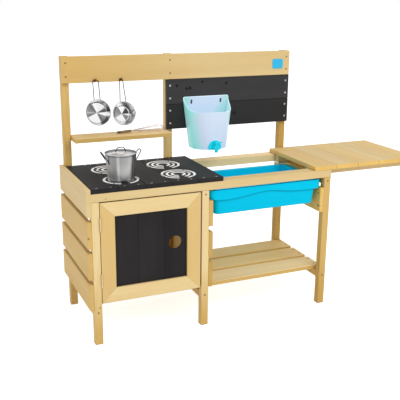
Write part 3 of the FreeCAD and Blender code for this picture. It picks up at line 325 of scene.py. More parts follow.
@dataclass(frozen=True)
class PlanedPine(Finish):
    """Planed and oiled pine: pale early wood with thin amber late wood lines and a few small knots.

    The plane leaves a satin surface, so light spreads softly and the grain shows as faint long lines.
    """

    stock: ClassVar[str] = "planed_pine_"
    timber: str
    run: Run
    seed: float
    tone: Tone = Tone.HONEY
    fade: tuple[Tone, float, float] | None = None
    edge_and_shade_tone: Tone | None = None
    every_second: Tone | None = None
    knot: str = "#94642F"
    # Dark tone of the painted shade, mixed in where ambient occlusion finds a crevice.
    crevice_shade_tone: str = "#5E421A"
    ring_gap: float = 5.5 * MM
    grain: float = 0.4
    fibre: float = 0.3
    blush: float = 0.3
    blush_tone: str = "#DDB678"
    crevice_shade: float = 0.5
    crevice_reach: float = 9 * MM
    scattered_knots: float = 0.0
    knots: Knots = ()
    roughness: float = 0.52
    gloss: float = 0.4
    board_start: float = 0.0
    board_pitch: float = 0.0
    board_shift: Triple = (0.731, 0.017, 0.023)
    printed: BurnerPrint | None = None
    mitre: MitreJoint | None = None

    @property
    def name(self) -> str:
        """Name of the material, after the stock and the timber."""
        return self.stock + self.timber

    def board_place(self, tree: Tree) -> tuple[Any, Any, Any]:
        """Coordinates along the board's length, width and thickness, moved by the seed.

        The seed takes another stretch of the log, whose pith lies 35 to 65 mm below the board. Boards
        that lie side by side in one node are shifted once more for each pitch before them.

        Args:
            tree: Node tree of the material.

        Returns:
            The plain coordinates, the separated ones, and the board's own combined ones.
        """
        plain = add_node(tree, COORDINATES, out="Object")
        place = add_node(tree, APART, plain, out=None)
        length, width, thick = (place[axis] for axis in self.run.value)
        step: Any = 0.0
        if self.board_pitch:
            moved = add_node(tree, MATH, width, self.board_start, operation="SUBTRACT")
            share = add_node(tree, MATH, moved, self.board_pitch, operation="DIVIDE")
            step = add_node(tree, MATH, share, operation="FLOOR")
        spread = add_node(tree, TOGETHER, step, step, step)
        shifted = add_node(tree, VECTOR, spread, self.board_shift, operation="MULTIPLY")
        own = add_node(tree, TOGETHER, length, width, thick)
        seeded = (self.seed * 1.37, self.seed * 0.0113 - 0.012, 0.035 + (self.seed * 0.0071) % 0.03)
        offset = add_node(tree, VECTOR, own, seeded, operation="ADD")
        return plain, place, add_node(tree, VECTOR, offset, shifted, operation="ADD")

    def knot_mask(self, tree: Tree, plain: Any, board: Any) -> Any:
        """Knots at given places with a wobbling edge, and scattered ones where the board has them.

        Args:
            tree: Node tree of the material.
            plain: Plain coordinates.
            board: The board's own coordinates.

        Returns:
            Socket that is near 1 in the knots and 0 elsewhere.
        """
        wobble = add_node(tree, NOISE, {"Vector": plain, "Scale": 140.0, "Detail": 1.0}, out="Color")
        moved = add_node(tree, VECTOR, wobble, (0.5, 0.5, 0.5), operation="SUBTRACT")
        small = add_node(tree, VECTOR, moved, {"Scale": 7 * MM}, operation="SCALE")
        around = add_node(tree, VECTOR, plain, small, operation="ADD")
        flat = add_node(tree, VECTOR, board, (0.62, 1.0, 0.0), operation="MULTIPLY")
        cell = add_node(tree, "ShaderNodeTexVoronoi", {"Vector": flat, "Scale": 3.4}, voronoi_dimensions="2D")
        mask = add_node(tree, RANGE, cell, 0.010, 0.028, self.scattered_knots, 0.0,
                        interpolation_type="SMOOTHSTEP")
        for knot in self.knots:
            x, y, z, radius = (size * MM for size in knot)
            distance = add_node(tree, VECTOR, around, (x, y, z), out="Value", operation="DISTANCE")
            spot = add_node(tree, RANGE, distance, radius * 0.45, radius, 0.85, 0.0,
                            interpolation_type="SMOOTHSTEP")
            mask = add_node(tree, MATH, mask, spot, operation="MAXIMUM")
        return mask

    def tones(self, tree: Tree, place: Any) -> list[Any]:
        """Early and late wood colour.

        They change along the board where it fades, from board to board where every second one has
        its own, and on the narrow sides where the edges do.

        Args:
            tree: Node tree of the material.
            place: Separated coordinates, as x, y and z outputs.

        Returns:
            The two colours.
        """
        length, width, _ = (place[axis] for axis in self.run.value)
        layers = []
        if self.fade:
            far, start, end = self.fade
            layers.append((add_node(tree, RANGE, length, start, end), far))
        if self.every_second:
            moved = add_node(tree, MATH, width, self.board_start, operation="SUBTRACT")
            turn = add_node(tree, MATH, moved, self.board_pitch * 2, operation="DIVIDE")
            part = add_node(tree, MATH, turn, operation="FRACT")
            layers.append((add_node(tree, MATH, part, 0.5, operation="GREATER_THAN"), self.every_second))
        # The narrow sides' tone is partly that of sawn edges and partly painted warm shade.
        if self.edge_and_shade_tone:
            facing = add_node(tree, APART, add_node(tree, COORDINATES, out="Normal"), out=None)
            flat = add_node(tree, MATH, facing[self.run.value[2]], operation="ABSOLUTE")
            layers.append((add_node(tree, MATH, flat, 0.7, operation="LESS_THAN"), self.edge_and_shade_tone))
        both: list[Any] = list(self.tone.value)
        for which in (0, 1):
            for share, other in layers:
                both[which] = add_node(tree, MIX, share, {6: both[which], 7: other.value[which]}, out=2,
                                       data_type="RGBA")
        return both

    def paint(self, tree: Tree) -> dict[str, Any]:
        """Growth rings round a pith below the board, bent by slow noise, with fibres and knots on top, and
        painted shade in crevices.

        Args:
            tree: Node tree of the material.

        Returns:
            Values and links of the surface shader.
        """
        plain, place, board = self.board_place(tree)
        drift = self.figure(tree, board, 2.2, 14.0, 2.0, out="Color")
        centred = add_node(tree, VECTOR, drift, (0.5, 0.5, 0.5), operation="SUBTRACT")
        bend = add_node(tree, VECTOR, centred, (0.0, 0.034, 0.034), operation="MULTIPLY")
        bent = add_node(tree, VECTOR, board, bend, operation="ADD")
        across = add_node(tree, VECTOR, bent, (0.0, 1.0, 1.0), operation="MULTIPLY")
        radius = add_node(tree, VECTOR, across, out="Value", operation="LENGTH")
        turns = add_node(tree, MATH, radius, self.ring_gap, operation="DIVIDE")
        ring = add_node(tree, RAMP, add_node(tree, MATH, turns, operation="FRACT"),
                        ramp=((0.0, 0.35), (0.12, 0.0), (0.62, 0.22), (0.88, 1.0)))
        fibre = self.figure(tree, board, 14.0, 620.0, 3.0)
        cloud = self.figure(tree, board, 1.6, 22.0, 1.0)
        patch = self.figure(tree, board, 2.6, 9.0, 2.0)
        lines = add_node(tree, MATH, ring, self.grain, operation="MULTIPLY")
        streak = add_node(tree, RANGE, fibre, 0.35, 0.75, 0.0, self.fibre)
        shade = add_node(tree, RANGE, cloud, 0.3, 0.75, 0.0, 0.4)
        amount = add_node(tree, MATH, lines, streak, operation="ADD")
        amount = add_node(tree, MATH, amount, shade, operation="ADD", use_clamp=True)
        colour, late = self.tones(tree, place)
        rosy = add_node(tree, RANGE, patch, 0.42, 0.68, 0.0, self.blush)
        layers = [(amount, late), (rosy, self.blush_tone), (self.knot_mask(tree, plain, board), self.knot)]
        layers += [(mark.mask(tree, place), mark.tone) for mark in (self.mitre, self.printed) if mark]
        # Painted shade: crevices that ambient occlusion finds are darkened towards the dark tone.
        if self.crevice_shade:
            openness = add_node(tree, OPENNESS, {"Distance": self.crevice_reach}, out="AO", samples=8)
            layers.append((add_node(tree, RANGE, openness, 0.35, 0.85, self.crevice_shade, 0.0), self.crevice_shade_tone))
        for share, tone in layers:
            colour = add_node(tree, MIX, share, {6: colour, 7: tone}, out=2, data_type="RGBA")
        height = add_node(tree, MATH, fibre, ring, operation="ADD")
        normal = add_node(tree, BUMP, {"Height": height, "Strength": 0.25, "Distance": 0.2 * MM})
        rough = add_node(tree, RANGE, amount, 0.0, 1.0, self.roughness, self.roughness + 0.12)
        return {"Base Color": colour, "Roughness": rough, "Normal": normal, "Specular IOR Level": self.gloss}


@dataclass(frozen=True)
class BlackStain(PlanedPine):
    """Black water stain on pine: near black, with the grain and knots showing a shade darker."""

    stock: ClassVar[str] = "black_stained_"
    tone: Tone = Tone.INK
    knot: str = "#121112"
    grain: float = 0.35
    fibre: float = 0.25
    blush: float = 0.25
    blush_tone: str = "#3C3938"
    crevice_shade: float = 0.0
    roughness: float = 0.55
    gloss: float = 0.12


@dataclass(frozen=True)
class MouldedPlastic(Finish):
    """Injection or blow moulded polythene: even colour with a fine moulded texture and a soft gloss."""

    name: str
    colour: str
    deep: str
    roughness: float = 0.3
    texture: float = 0.6 * MM
    relief: float = 0.06
    gloss: float = 0.5
    # Painted light and shade: the glow is emission standing in for light through the plastic, and the crevice
    # darkening is painted shade found by ambient occlusion.
    glow: float = 0.0
    crevice_shade: float = 0.0
    crevice_reach: float = 12 * MM

    def paint(self, tree: Tree) -> dict[str, Any]:
        """Slow mottling between two near tones, painted shade in crevices and a painted glow, and the mould's
        grain as a fine bump.

        Args:
            tree: Node tree of the material.

        Returns:
            Values and links of the surface shader.
        """
        place = add_node(tree, COORDINATES, out="Object")
        slow = add_node(tree, NOISE, {"Vector": place, "Scale": 9.0, "Detail": 1.0})
        share = add_node(tree, RANGE, slow, 0.3, 0.7, 0.0, 1.0)
        colour = add_node(tree, MIX, share, {6: self.colour, 7: self.deep}, out=2, data_type="RGBA")
        # Painted shade: the colour is darkened where ambient occlusion finds a crevice.
        if self.crevice_shade:
            openness = add_node(tree, OPENNESS, {"Distance": self.crevice_reach}, out="AO", samples=12)
            shade = add_node(tree, RANGE, openness, 0.45, 0.95, 1.0 - self.crevice_shade, 1.0)
            colour = add_node(tree, VECTOR, colour, {"Scale": shade}, operation="SCALE")
        grain = add_node(tree, NOISE, {"Vector": place, "Scale": 1 / self.texture, "Detail": 1.0})
        normal = add_node(tree, BUMP, {"Height": grain, "Strength": self.relief, "Distance": 0.1 * MM})
        rough = add_node(tree, RANGE, grain, 0.3, 0.7, self.roughness - 0.04, self.roughness + 0.06)
        # The emission by the glow is painted light.
        return {"Base Color": colour, "Roughness": rough, "Normal": normal, "IOR": 1.5,
                "Specular IOR Level": self.gloss, "Emission Color": colour, "Emission Strength": self.glow}


@dataclass(frozen=True)
class MilkyPlastic(Finish):
    """Thin polypropylene: milky in the middle, with a painted tint at the sides for the deeper colour seen
    where one looks along the wall.

    It glows a little by itself instead of showing deep shade: the glow is painted light, standing in for
    daylight through the wall.
    """

    name: str = "milky_turquoise_polypropylene"
    middle: str = "#BDC9DB"
    side: str = "#92DEDC"
    edge: str = "#B0D6DA"
    plate: str = "#B0BFD0"
    plate_side: str = "#90BBBD"
    plate_heights: tuple[float, float] = (745 * MM, 800 * MM)
    plate_face: float = 330 * MM
    foot: float = 613 * MM
    foot_reach: float = 120 * MM
    foot_spread: float = 26 * MM
    left: float = 461 * MM
    right: float = 660 * MM
    # Painted light: emission standing in for daylight through the thin wall.
    glow: float = 0.4

    def paint(self, tree: Tree) -> dict[str, Any]:
        """Painted tint by the share of the way from the left side to the right, spreading towards the foot.

        The plate behind the pocket, which one sees face on, has its own even tone.

        Args:
            tree: Node tree of the material.

        Returns:
            Values and links of the surface shader.
        """
        place = add_node(tree, COORDINATES, out="Object")
        x, y, z = add_node(tree, APART, place, out=None)
        slow = add_node(tree, NOISE, {"Vector": place, "Scale": 12.0, "Detail": 1.0})
        sway = add_node(tree, RANGE, slow, 0.3, 0.7, -6 * MM, 6 * MM)
        spread = add_node(tree, RANGE, z, self.foot, self.foot + self.foot_reach, self.foot_spread, 0.0)
        swayed = add_node(tree, MATH, x, sway, operation="ADD")
        moved = add_node(tree, MATH, swayed, spread, operation="SUBTRACT")
        share = add_node(tree, RANGE, moved, self.left, self.right, 0.0, 1.0)
        wall = add_node(tree, RAMP, share, ramp=(
            (0.0, self.side), (0.03, self.side), (0.2, self.middle), (0.66, self.middle), (0.9, self.edge),
            (1.0, self.edge)))
        lean = add_node(tree, RANGE, z, *self.plate_heights, 0.16, 0.0)
        across = add_node(tree, MATH, share, lean, operation="ADD")
        plate = add_node(tree, RAMP, across, ramp=(
            (0.0, self.plate_side), (0.08, self.plate_side), (0.22, self.plate), (0.8, self.plate),
            (0.96, self.plate_side), (1.0, self.plate_side)))
        behind = add_node(tree, RANGE, y, self.plate_face, self.plate_face + 3 * MM)
        colour = add_node(tree, MIX, behind, {6: wall, 7: plate}, out=2, data_type="RGBA")
        grain = add_node(tree, NOISE, {"Vector": place, "Scale": 1400.0, "Detail": 1.0})
        normal = add_node(tree, BUMP, {"Height": grain, "Strength": 0.05, "Distance": 0.1 * MM})
        rough = add_node(tree, RANGE, grain, 0.3, 0.7, 0.3, 0.38)
        return {"Base Color": colour, "Roughness": rough, "Normal": normal, "IOR": 1.49,
                "Specular IOR Level": 0.3, "Emission Color": colour, "Emission Strength": self.glow}


@dataclass(frozen=True)
class SpunSteel(Finish):
    """Spun and polished stainless steel, with the turning lines' bright and dark sectors painted into its
    colour as painted reflections.

    The sectors meet at the middle of the base, as on any sheet that was spun on a lathe.
    """

    name: str
    centre: Triple
    tilt: float
    # Painted reflection: brightness by the share of the turn about the axis, on the base and on the wall.
    reflection_sectors: Stops
    wall_reflection_sectors: Stops = ()
    base_radius: float = 1.0
    # Painted shade: brightness by the share of the height.
    shade_levels: Stops = ((0.0, 1.0), (1.0, 1.0))
    height: float = 1.0
    line_gap: float = 1.1 * MM
    roughness: float = 0.2

    def paint(self, tree: Tree) -> dict[str, Any]:
        """Painted reflections and shade: brightness by the angle about the vessel's axis and by the height,
        with turning lines as bump.

        Outside the base's radius the wall has its own sectors where they are given.

        Args:
            tree: Node tree of the material.

        Returns:
            Values and links of the surface shader.
        """
        place = add_node(tree, COORDINATES, out="Object")
        moved = add_node(tree, VECTOR, place, self.centre, operation="SUBTRACT")
        turned = add_node(tree, "ShaderNodeVectorRotate", {"Vector": moved, "Angle": self.tilt},
                          rotation_type="X_AXIS")
        x, y, z = add_node(tree, APART, turned, out=None)
        angle = add_node(tree, MATH, y, x, operation="ARCTAN2")
        share = add_node(tree, RANGE, angle, -math.pi, math.pi, 0.0, 1.0)
        flat = add_node(tree, VECTOR, turned, (1.0, 1.0, 0.0), operation="MULTIPLY")
        radius = add_node(tree, VECTOR, flat, out="Value", operation="LENGTH")
        # Painted reflections by the angle, then painted shade by the height.
        sector = add_node(tree, RAMP, share, ramp=self.reflection_sectors)
        if self.wall_reflection_sectors:
            wall = add_node(tree, RAMP, share, ramp=self.wall_reflection_sectors)
            outside = add_node(tree, RANGE, radius, self.base_radius - 1 * MM, self.base_radius + 1 * MM)
            sector = add_node(tree, MIX, outside, {6: sector, 7: wall}, out=2, data_type="RGBA")
        rise = add_node(tree, MATH, z, self.height, operation="DIVIDE")
        gain = add_node(tree, RAMP, rise, ramp=self.shade_levels)
        tone = add_node(tree, VECTOR, sector, gain, operation="MULTIPLY")
        depth = add_node(tree, MATH, radius, z, operation="ADD")
        turns = add_node(tree, MATH, depth, math.tau / self.line_gap, operation="MULTIPLY")
        line = add_node(tree, MATH, turns, operation="SINE")
        normal = add_node(tree, BUMP, {"Height": line, "Strength": 0.08, "Distance": 0.05 * MM})
        rough = add_node(tree, RANGE, line, -1.0, 1.0, self.roughness - 0.03, self.roughness + 0.05)
        return {"Base Color": tone, "Metallic": 1.0, "Roughness": rough, "Normal": normal}


@dataclass(frozen=True)
class PlatedSteel(Finish):
    """Zinc, brass or blackened plating on small steel parts: a soft metal gleam with faint mottling."""

    name: str
    colour: str
    worn: str
    roughness: float = 0.3
    metallic: float = 1.0

    def paint(self, tree: Tree) -> dict[str, Any]:
        """Small patches of a second tone, with the roughness following them.

        Args:
            tree: Node tree of the material.

        Returns:
            Values and links of the surface shader.
        """
        place = add_node(tree, COORDINATES, out="Object")
        patch = add_node(tree, NOISE, {"Vector": place, "Scale": 420.0, "Detail": 3.0})
        share = add_node(tree, RANGE, patch, 0.35, 0.7, 0.0, 1.0)
        colour = add_node(tree, MIX, share, {6: self.colour, 7: self.worn}, out=2, data_type="RGBA")
        rough = add_node(tree, RANGE, patch, 0.3, 0.7, self.roughness, self.roughness + 0.12)
        return {"Base Color": colour, "Metallic": self.metallic, "Roughness": rough}


@dataclass(frozen=True)
class TurnedWood(Finish):
    """Turned and varnished handle wood: warm brown, darker towards the end, with long pores."""

    name: str = "turned_varnished_wood"
    colour: str = "#A08244"
    dark: str = "#4C3C22"
    far: str = "#86673A"
    end_x: float = 191 * MM
    length: float = 54 * MM

    def paint(self, tree: Tree) -> dict[str, Any]:
        """Tone by the way along the handle, broken up by stretched noise for the pores.

        Args:
            tree: Node tree of the material.

        Returns:
            Values and links of the surface shader.
        """
        place = add_node(tree, COORDINATES, out="Object")
        x = add_node(tree, APART, place)
        pores = self.figure(tree, place, 40.0, 700.0, 3.0)
        along = add_node(tree, RANGE, x, self.end_x, self.end_x + self.length, 0.0, 1.0)
        mixed = add_node(tree, MATH, pores, along, operation="MULTIPLY")
        share = add_node(tree, MATH, mixed, along, operation="ADD")
        colour = add_node(tree, RAMP, share,
                          ramp=((0.0, self.dark), (0.25, self.dark), (0.5, self.colour), (1.0, self.far)))
        normal = add_node(tree, BUMP, {"Height": pores, "Strength": 0.15, "Distance": 0.1 * MM})
        return {"Base Color": colour, "Roughness": 0.35, "Normal": normal, "Coat Weight": 0.4,
                "Coat Roughness": 0.15}


# Cool white and warm pale gleam of fresh plating, on screws and on hinges.
ZINC = PlatedSteel("zinc_plated_steel", "#D8D8D4", "#A9A9A6")
BRASS = PlatedSteel("brass_plated_steel", "#DCC49E", "#C8AC80", 0.35)
# Dull dark platings: brown in the pale timber, bronze on the hooks, near black behind the dispenser.
BLACKENED = PlatedSteel("blackened_screw_steel", "#5E4414", "#402E10", 0.5, 0.3)
BRONZED = PlatedSteel("bronzed_hook_steel", "#8A6A33", "#5F4520", 0.35)
HANGING = PlatedSteel("black_hanging_screw_steel", "#1E2A2E", "#11191C", 0.5, 0.5)
# Bare steel: grey drawn wire, bright rolled sheet edges and a whisk's warm tinned wire; the wires are painted
# darker and the rolled edges lighter than bare steel, as painted reflection.
WIRE = PlatedSteel("drawn_steel_wire", "#5C5C60", "#454549")
HANDLE_WIRE = PlatedSteel("drawn_handle_wire", "#48484C", "#353538")
ROLLED = PlatedSteel("rolled_steel_edge", "#DCDCDE", "#C6C6C9")
TINNED = PlatedSteel("tinned_whisk_wire", "#D6C6BE", "#B4A49C")
# Opaque plastics: even, softly glossy colour. The tray and the tap get a painted glow as painted light, and
# painted shade in their crevices.
NYLON = MouldedPlastic("white_nylon", "#E4E4E0", "#DADAD6", 0.4)
PLAQUE_BLUE = MouldedPlastic("sky_blue_plaque", "#24BCEA", "#1CB2E4", 0.35)
TRAY_BLUE = MouldedPlastic("sky_blue_polythene", "#00C5E9", "#00BFE4", 0.4, gloss=0.05, glow=0.04,
                           crevice_shade=0.7)
TURQUOISE = MouldedPlastic("turquoise_abs", "#14D2E2", "#0AC8DC", 0.34, gloss=0.25, glow=0.24, crevice_shade=0.2)
# The open edge of the milky dispenser, seen end on, in lighter tones of the milky material as a painted
# highlight.
EDGE_HIGHLIGHT = MilkyPlastic(name="pale_polypropylene_edge", middle="#BFCDDD", side="#A6E2E2", edge="#CCEAEE",
                          plate="#D8EAEC", plate_side="#CCE8E8")


def new_piece(name: str, surface: Surface, body: str, finish: Finish) -> None:
    """Make a piece at the origin from points and faces and let it ride on a body.

    Points that meet are merged, so that seams and poles are closed, and faces are turned outwards.

    Args:
        name: Name of the piece.
        surface: Vertex positions in metres, and the vertex numbers of each four-sided face.
        body: CAD body that carries the piece.
        finish: Finish of the piece.
    """
    points, faces = surface
    mesh = bpy.data.meshes.new(name)
    mesh.from_pydata(points.reshape(-1, 3).tolist(), [], faces.tolist())
    work = bmesh.new()
    work.from_mesh(mesh)
    bmesh.ops.remove_doubles(work, verts=work.verts, dist=0.001 * MM)
    bmesh.ops.recalc_face_normals(work, faces=work.faces)
    work.to_mesh(mesh)
    work.free()
    mesh.polygons.foreach_set("use_smooth", np.ones(len(mesh.polygons), bool))
    mesh.set_sharp_from_angle(angle=SMOOTH_ANGLE)
    mesh.materials.append(finish.material())
    piece = add_object(name, mesh)
    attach(piece, body)
    LOG.info("made %s with %d faces on %s", name, len(faces), body)


@dataclass(frozen=True)
class ScrewHead:
    """Countersunk wood screw head with a cross recess."""

    radius: float = 3.6 * MM
    proud: float = 0.35 * MM
    sunk: float = 0.9 * MM
    recess: float = 1.3 * MM
    recess_reach: float = 2.1 * MM
    recess_half: float = 0.5 * MM
    rings: int = 9
    spokes: int = 24
    turn_step: float = 2.4

    def shape(self) -> np.ndarray:
        """Points of one head that faces +Z, ring by ring.

        The height over the disc is a shallow dome, less the recess where a point lies within the
        half width of either bar of the cross and inside its reach. Below the edge the skirt goes
        straight down and closes to the middle.

        Returns:
            Points in metres, by ring and spoke.
        """
        share = np.concatenate([np.linspace(0.0, 1.0, self.rings), [1.0, 0.0]])[:, None]
        turn = np.linspace(0, math.tau, self.spokes, endpoint=False)[None, :]
        x, y = share * np.cos(turn) * self.radius, share * np.sin(turn) * self.radius
        dome = self.proud * (1 - 0.7 * share ** 2) + 0 * turn
        near = np.minimum(np.abs(x), np.abs(y)) < self.recess_half
        reach = np.hypot(x, y) < self.recess_reach
        z = np.where(near & reach, dome - self.recess * (1 - np.hypot(x, y) / self.recess_reach), dome)
        z[-2:] = -self.sunk
        return np.stack([x, y, z], axis=-1)

    def many(self, name: str, found: list[Spot], finish: Finish) -> None:
        """Set a head at every place of the frame, as one piece.

        Each head's frame has the facing direction as its third axis, and the head is turned about it
        by an angle that grows with its number, as driven screws are.

        Args:
            name: Name of the piece.
            found: Head centres on the timber's face, each with its outward direction.
            finish: Finish of the heads.
        """
        head = self.shape()
        places = np.array([place for place, _ in found])
        facing = np.array([way for _, way in found], float)
        helper = np.where(np.abs(facing[:, 2:3]) > 0.9, [[1.0, 0.0, 0.0]], [[0.0, 0.0, 1.0]])
        side = np.cross(helper, facing)
        side /= np.linalg.norm(side, axis=1, keepdims=True)
        up = np.cross(facing, side)
        turn = (np.arange(len(found)) * self.turn_step)[:, None]
        first = np.cos(turn) * side + np.sin(turn) * up
        frames = np.stack([first, np.cross(facing, first), facing], axis=1)
        points = np.einsum("rsk,nkc->nrsc", head, frames) + places[:, None, None, :]
        new_piece(name, (points, grid_faces(*head.shape[:2], copies=len(found))), "frame", finish)


@dataclass(frozen=True)
class RolledBead:
    """Round bead carried along a closed edge."""

    radius: float
    around: int = 10
    steps: int = 96

    def follow(self, path: np.ndarray, outward: np.ndarray) -> Surface:
        """Surface of the bead along a closed path.

        The tangent at a point is the difference of its neighbours. The side is the outward direction
        less its part along the tangent, and the rise is the tangent crossed with the side. The
        section at an angle is the point plus the radius times side times cosine plus rise times sine.

        Args:
            path: Points of the bead's middle line, one row each.
            outward: Direction away from the sheet at each point.

        Returns:
            Points and faces.
        """
        tangent = np.roll(path, -1, axis=0) - np.roll(path, 1, axis=0)
        tangent /= np.linalg.norm(tangent, axis=1, keepdims=True)
        side = outward - tangent * np.sum(outward * tangent, axis=1, keepdims=True)
        side /= np.linalg.norm(side, axis=1, keepdims=True)
        rise = np.cross(tangent, side)
        angle = np.linspace(0, math.tau, self.around, endpoint=False)[None, :, None]
        section = np.cos(angle) * side[:, None] + np.sin(angle) * rise[:, None]
        return path[:, None] + self.radius * section, grid_faces(len(path), self.around, wrap_rows=True)

    def ring(self, centre: np.ndarray, axes: np.ndarray, reach: float) -> Surface:
        """Bead about a circle: the centre plus the reach along each outward direction.

        Args:
            centre: Middle of the circle.
            axes: Rotation matrix whose third column is the circle's axis.
            reach: Radius of the circle.

        Returns:
            Points and faces.
        """
        turn = np.linspace(0, math.tau, self.steps, endpoint=False)
        outward = np.stack([np.cos(turn), np.sin(turn), 0 * turn], axis=-1) @ axes.T
        return self.follow(centre + reach * outward, outward)


@dataclass
class Assembly:
    """A sub-assembly of the kitchen, which dresses its CAD nodes and makes its small pieces."""

    nodes: Nodes

    def dress(self, finish: Finish, *names: str) -> None:
        """Give CAD nodes a finish in every material slot they have.

        Args:
            finish: The finish.
            names: Names of the nodes.
        """
        for name in names:
            node = self.nodes[name]
            if not node.material_slots:
                node.data.materials.append(finish.material())
            for slot in node.material_slots:
                slot.material = finish.material()
            LOG.info("dressed %s in %s", name, finish.name)

    def build(self) -> None:
        """Dress the nodes and make the small pieces."""
        raise NotImplementedError


@dataclass
class TimberFrame(Assembly):
    """Legs, posts, rails, slats, floor boards and the small shelf, with their dark screws."""

    # Each timber's tones differ as real boards do, and also carry painted shade and light: darker on the back
    # posts where they stand in shade, paler on the back rail and the floor boards where they lie in shade.
    standing: tuple[tuple[str, Tone, Tone], ...] = (
        ("front_left_leg", Tone.GOLDEN, Tone.PALE), ("front_middle_leg", Tone.GOLDEN, Tone.PALE),
        ("front_right_leg", Tone.AMBER, Tone.GOLDEN), ("back_left_post", Tone.GOLDEN, Tone.GOLDEN),
        ("back_middle_post", Tone.GOLDEN, Tone.STRAW), ("back_right_post", Tone.AMBER, Tone.AMBER))
    foot_fade: tuple[float, float] = (50 * MM, 240 * MM)
    slats: tuple[tuple[str, Tone], ...] = (
        ("left_slat_1", Tone.HONEY), ("left_slat_2", Tone.GOLDEN), ("left_slat_3", Tone.GOLDEN),
        ("left_slat_4", Tone.GOLDEN), ("partition_slat_1", Tone.GOLDEN), ("partition_slat_2", Tone.AMBER),
        ("partition_slat_3", Tone.AMBER), ("right_slat", Tone.FLAX))
    rails: tuple[tuple[str, Tone], ...] = (("front_rail", Tone.HONEY), ("back_rail", Tone.ROSY))
    level: tuple[tuple[str, Tone, Tone], ...] = (
        ("floor_board_1", Tone.ROSY, Tone.ROSY), ("floor_board_2", Tone.WARM, Tone.WARM),
        ("floor_board_3", Tone.WARM, Tone.WARM), ("small_shelf", Tone.STRAW, Tone.ROSY))
    level_fade: tuple[float, float] = (100 * MM, 320 * MM)
    side_rails: tuple[str, ...] = ("top_side_rails", "low_side_rails")
    side_rail_start: float = -100 * MM
    side_rail_pitch: float = 350 * MM
    top_fade: tuple[float, float] = (50 * MM, 550 * MM)
    knots: tuple[tuple[str, Knots], ...] = (
        ("front_left_leg", ((6, -14, 141, 3.5),)), ("front_right_leg", ((931.6, -14, 89.5, 3.5),)),
        ("left_slat_1", ((-30, 129.2, 510.5, 4),)), ("left_slat_2", ((-26.5, -14, 401.3, 6),)),
        ("front_rail", ((37.8, -14, 536.4, 3),)))
    screw_radius: float = 3.3 * MM
    screw_heights: tuple[float, float] = (122 * MM, 513 * MM)

    def build(self) -> None:
        """Give every timber its own cut of pine, and make the dark screws."""
        cuts: list[tuple[str, Run, dict[str, Any]]] = [
            (name, Run.STANDING, {"tone": foot, "fade": (tone, *self.foot_fade)})
            for name, foot, tone in self.standing]
        cuts += [(name, Run.UPRIGHT_DEEP, {"tone": tone}) for name, tone in self.slats]
        cuts += [(name, Run.LEVEL_ACROSS, {"tone": tone}) for name, tone in self.rails]
        cuts += [(name, Run.LEVEL_ACROSS, {"tone": tone, "fade": (far, *self.level_fade),
                                           "edge_and_shade_tone": Tone.GOLDEN}) for name, tone, far in self.level]
        cuts += [(name, Run.LEVEL_DEEP, {"tone": Tone.GOLDEN, "board_start": self.side_rail_start,
                                         "board_pitch": self.side_rail_pitch, "scattered_knots": 0.0})
                 for name in self.side_rails]
        cuts.append(("top_back_board", Run.UPRIGHT_ACROSS,
                     {"tone": Tone.GOLDEN, "fade": (Tone.HONEY, *self.top_fade), "scattered_knots": 0.0}))
        for seed, (name, run, looks) in enumerate(cuts, start=1):
            knots = dict(self.knots).get(name, ())
            looks = {"knots": knots, "scattered_knots": 0.0 if knots else 0.5} | looks
            self.dress(PlanedPine(name, run, float(seed), **looks), name)
        found = self.leg_screws() + self.slat_screws() + self.board_screws()
        ScrewHead(radius=self.screw_radius).many("frame_screws", found, BLACKENED)

    def leg_screws(self) -> list[Spot]:
        """Screws through the legs and posts into the side rails.

        Returns:
            Places and outward directions.
        """
        found: list[Spot] = []
        for side in SIDES:
            low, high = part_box("front_" + side + "_leg")
            _, back_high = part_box("back_" + side + "_post")
            for height in self.screw_heights:
                if (side, height) != ("left", self.screw_heights[1]):
                    found.append((((low.x + high.x) / 2, low.y, height), (0, -1, 0)))
                found.append((((low.x + high.x) / 2, back_high.y, height), (0, 1, 0)))
        return found

    def slat_screws(self) -> list[Spot]:
        """Two screws at each end of every inner slat, into the leg and the post.

        Returns:
            Places and outward directions.
        """
        found: list[Spot] = []
        front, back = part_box("front_left_leg"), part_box("back_left_post")
        for name, _ in self.slats:
            if name.startswith("left"):
                continue
            low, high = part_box(name)
            face, way = (high.x, 1) if name.startswith("partition") else (low.x, -1)
            found += [((face, (end[0].y + end[1].y) / 2, (low.z + high.z) / 2 + offset), (way, 0, 0))
                      for end in (front, back) for offset in PAIR]
        return found

    def board_screws(self) -> list[Spot]:
        """Screws of the top board into the posts, and of the floor boards into the low rails.

        Returns:
            Places and outward directions.
        """
        found: list[Spot] = []
        low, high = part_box("top_back_board")
        for side in SIDES:
            post_low, post_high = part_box("back_" + side + "_post")
            x = (post_low.x + post_high.x) / 2
            for offset in PAIR:
                found.append(((x, low.y, (low.z + high.z) / 2 + offset), (0, -1, 0)))
                for board in ("floor_board_1", "floor_board_2", "floor_board_3"):
                    board_low, board_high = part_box(board)
                    middle = (board_low.y + board_high.y) / 2 + offset
                    found.append(((x, middle, board_high.z), (0, 0, 1)))
        return found


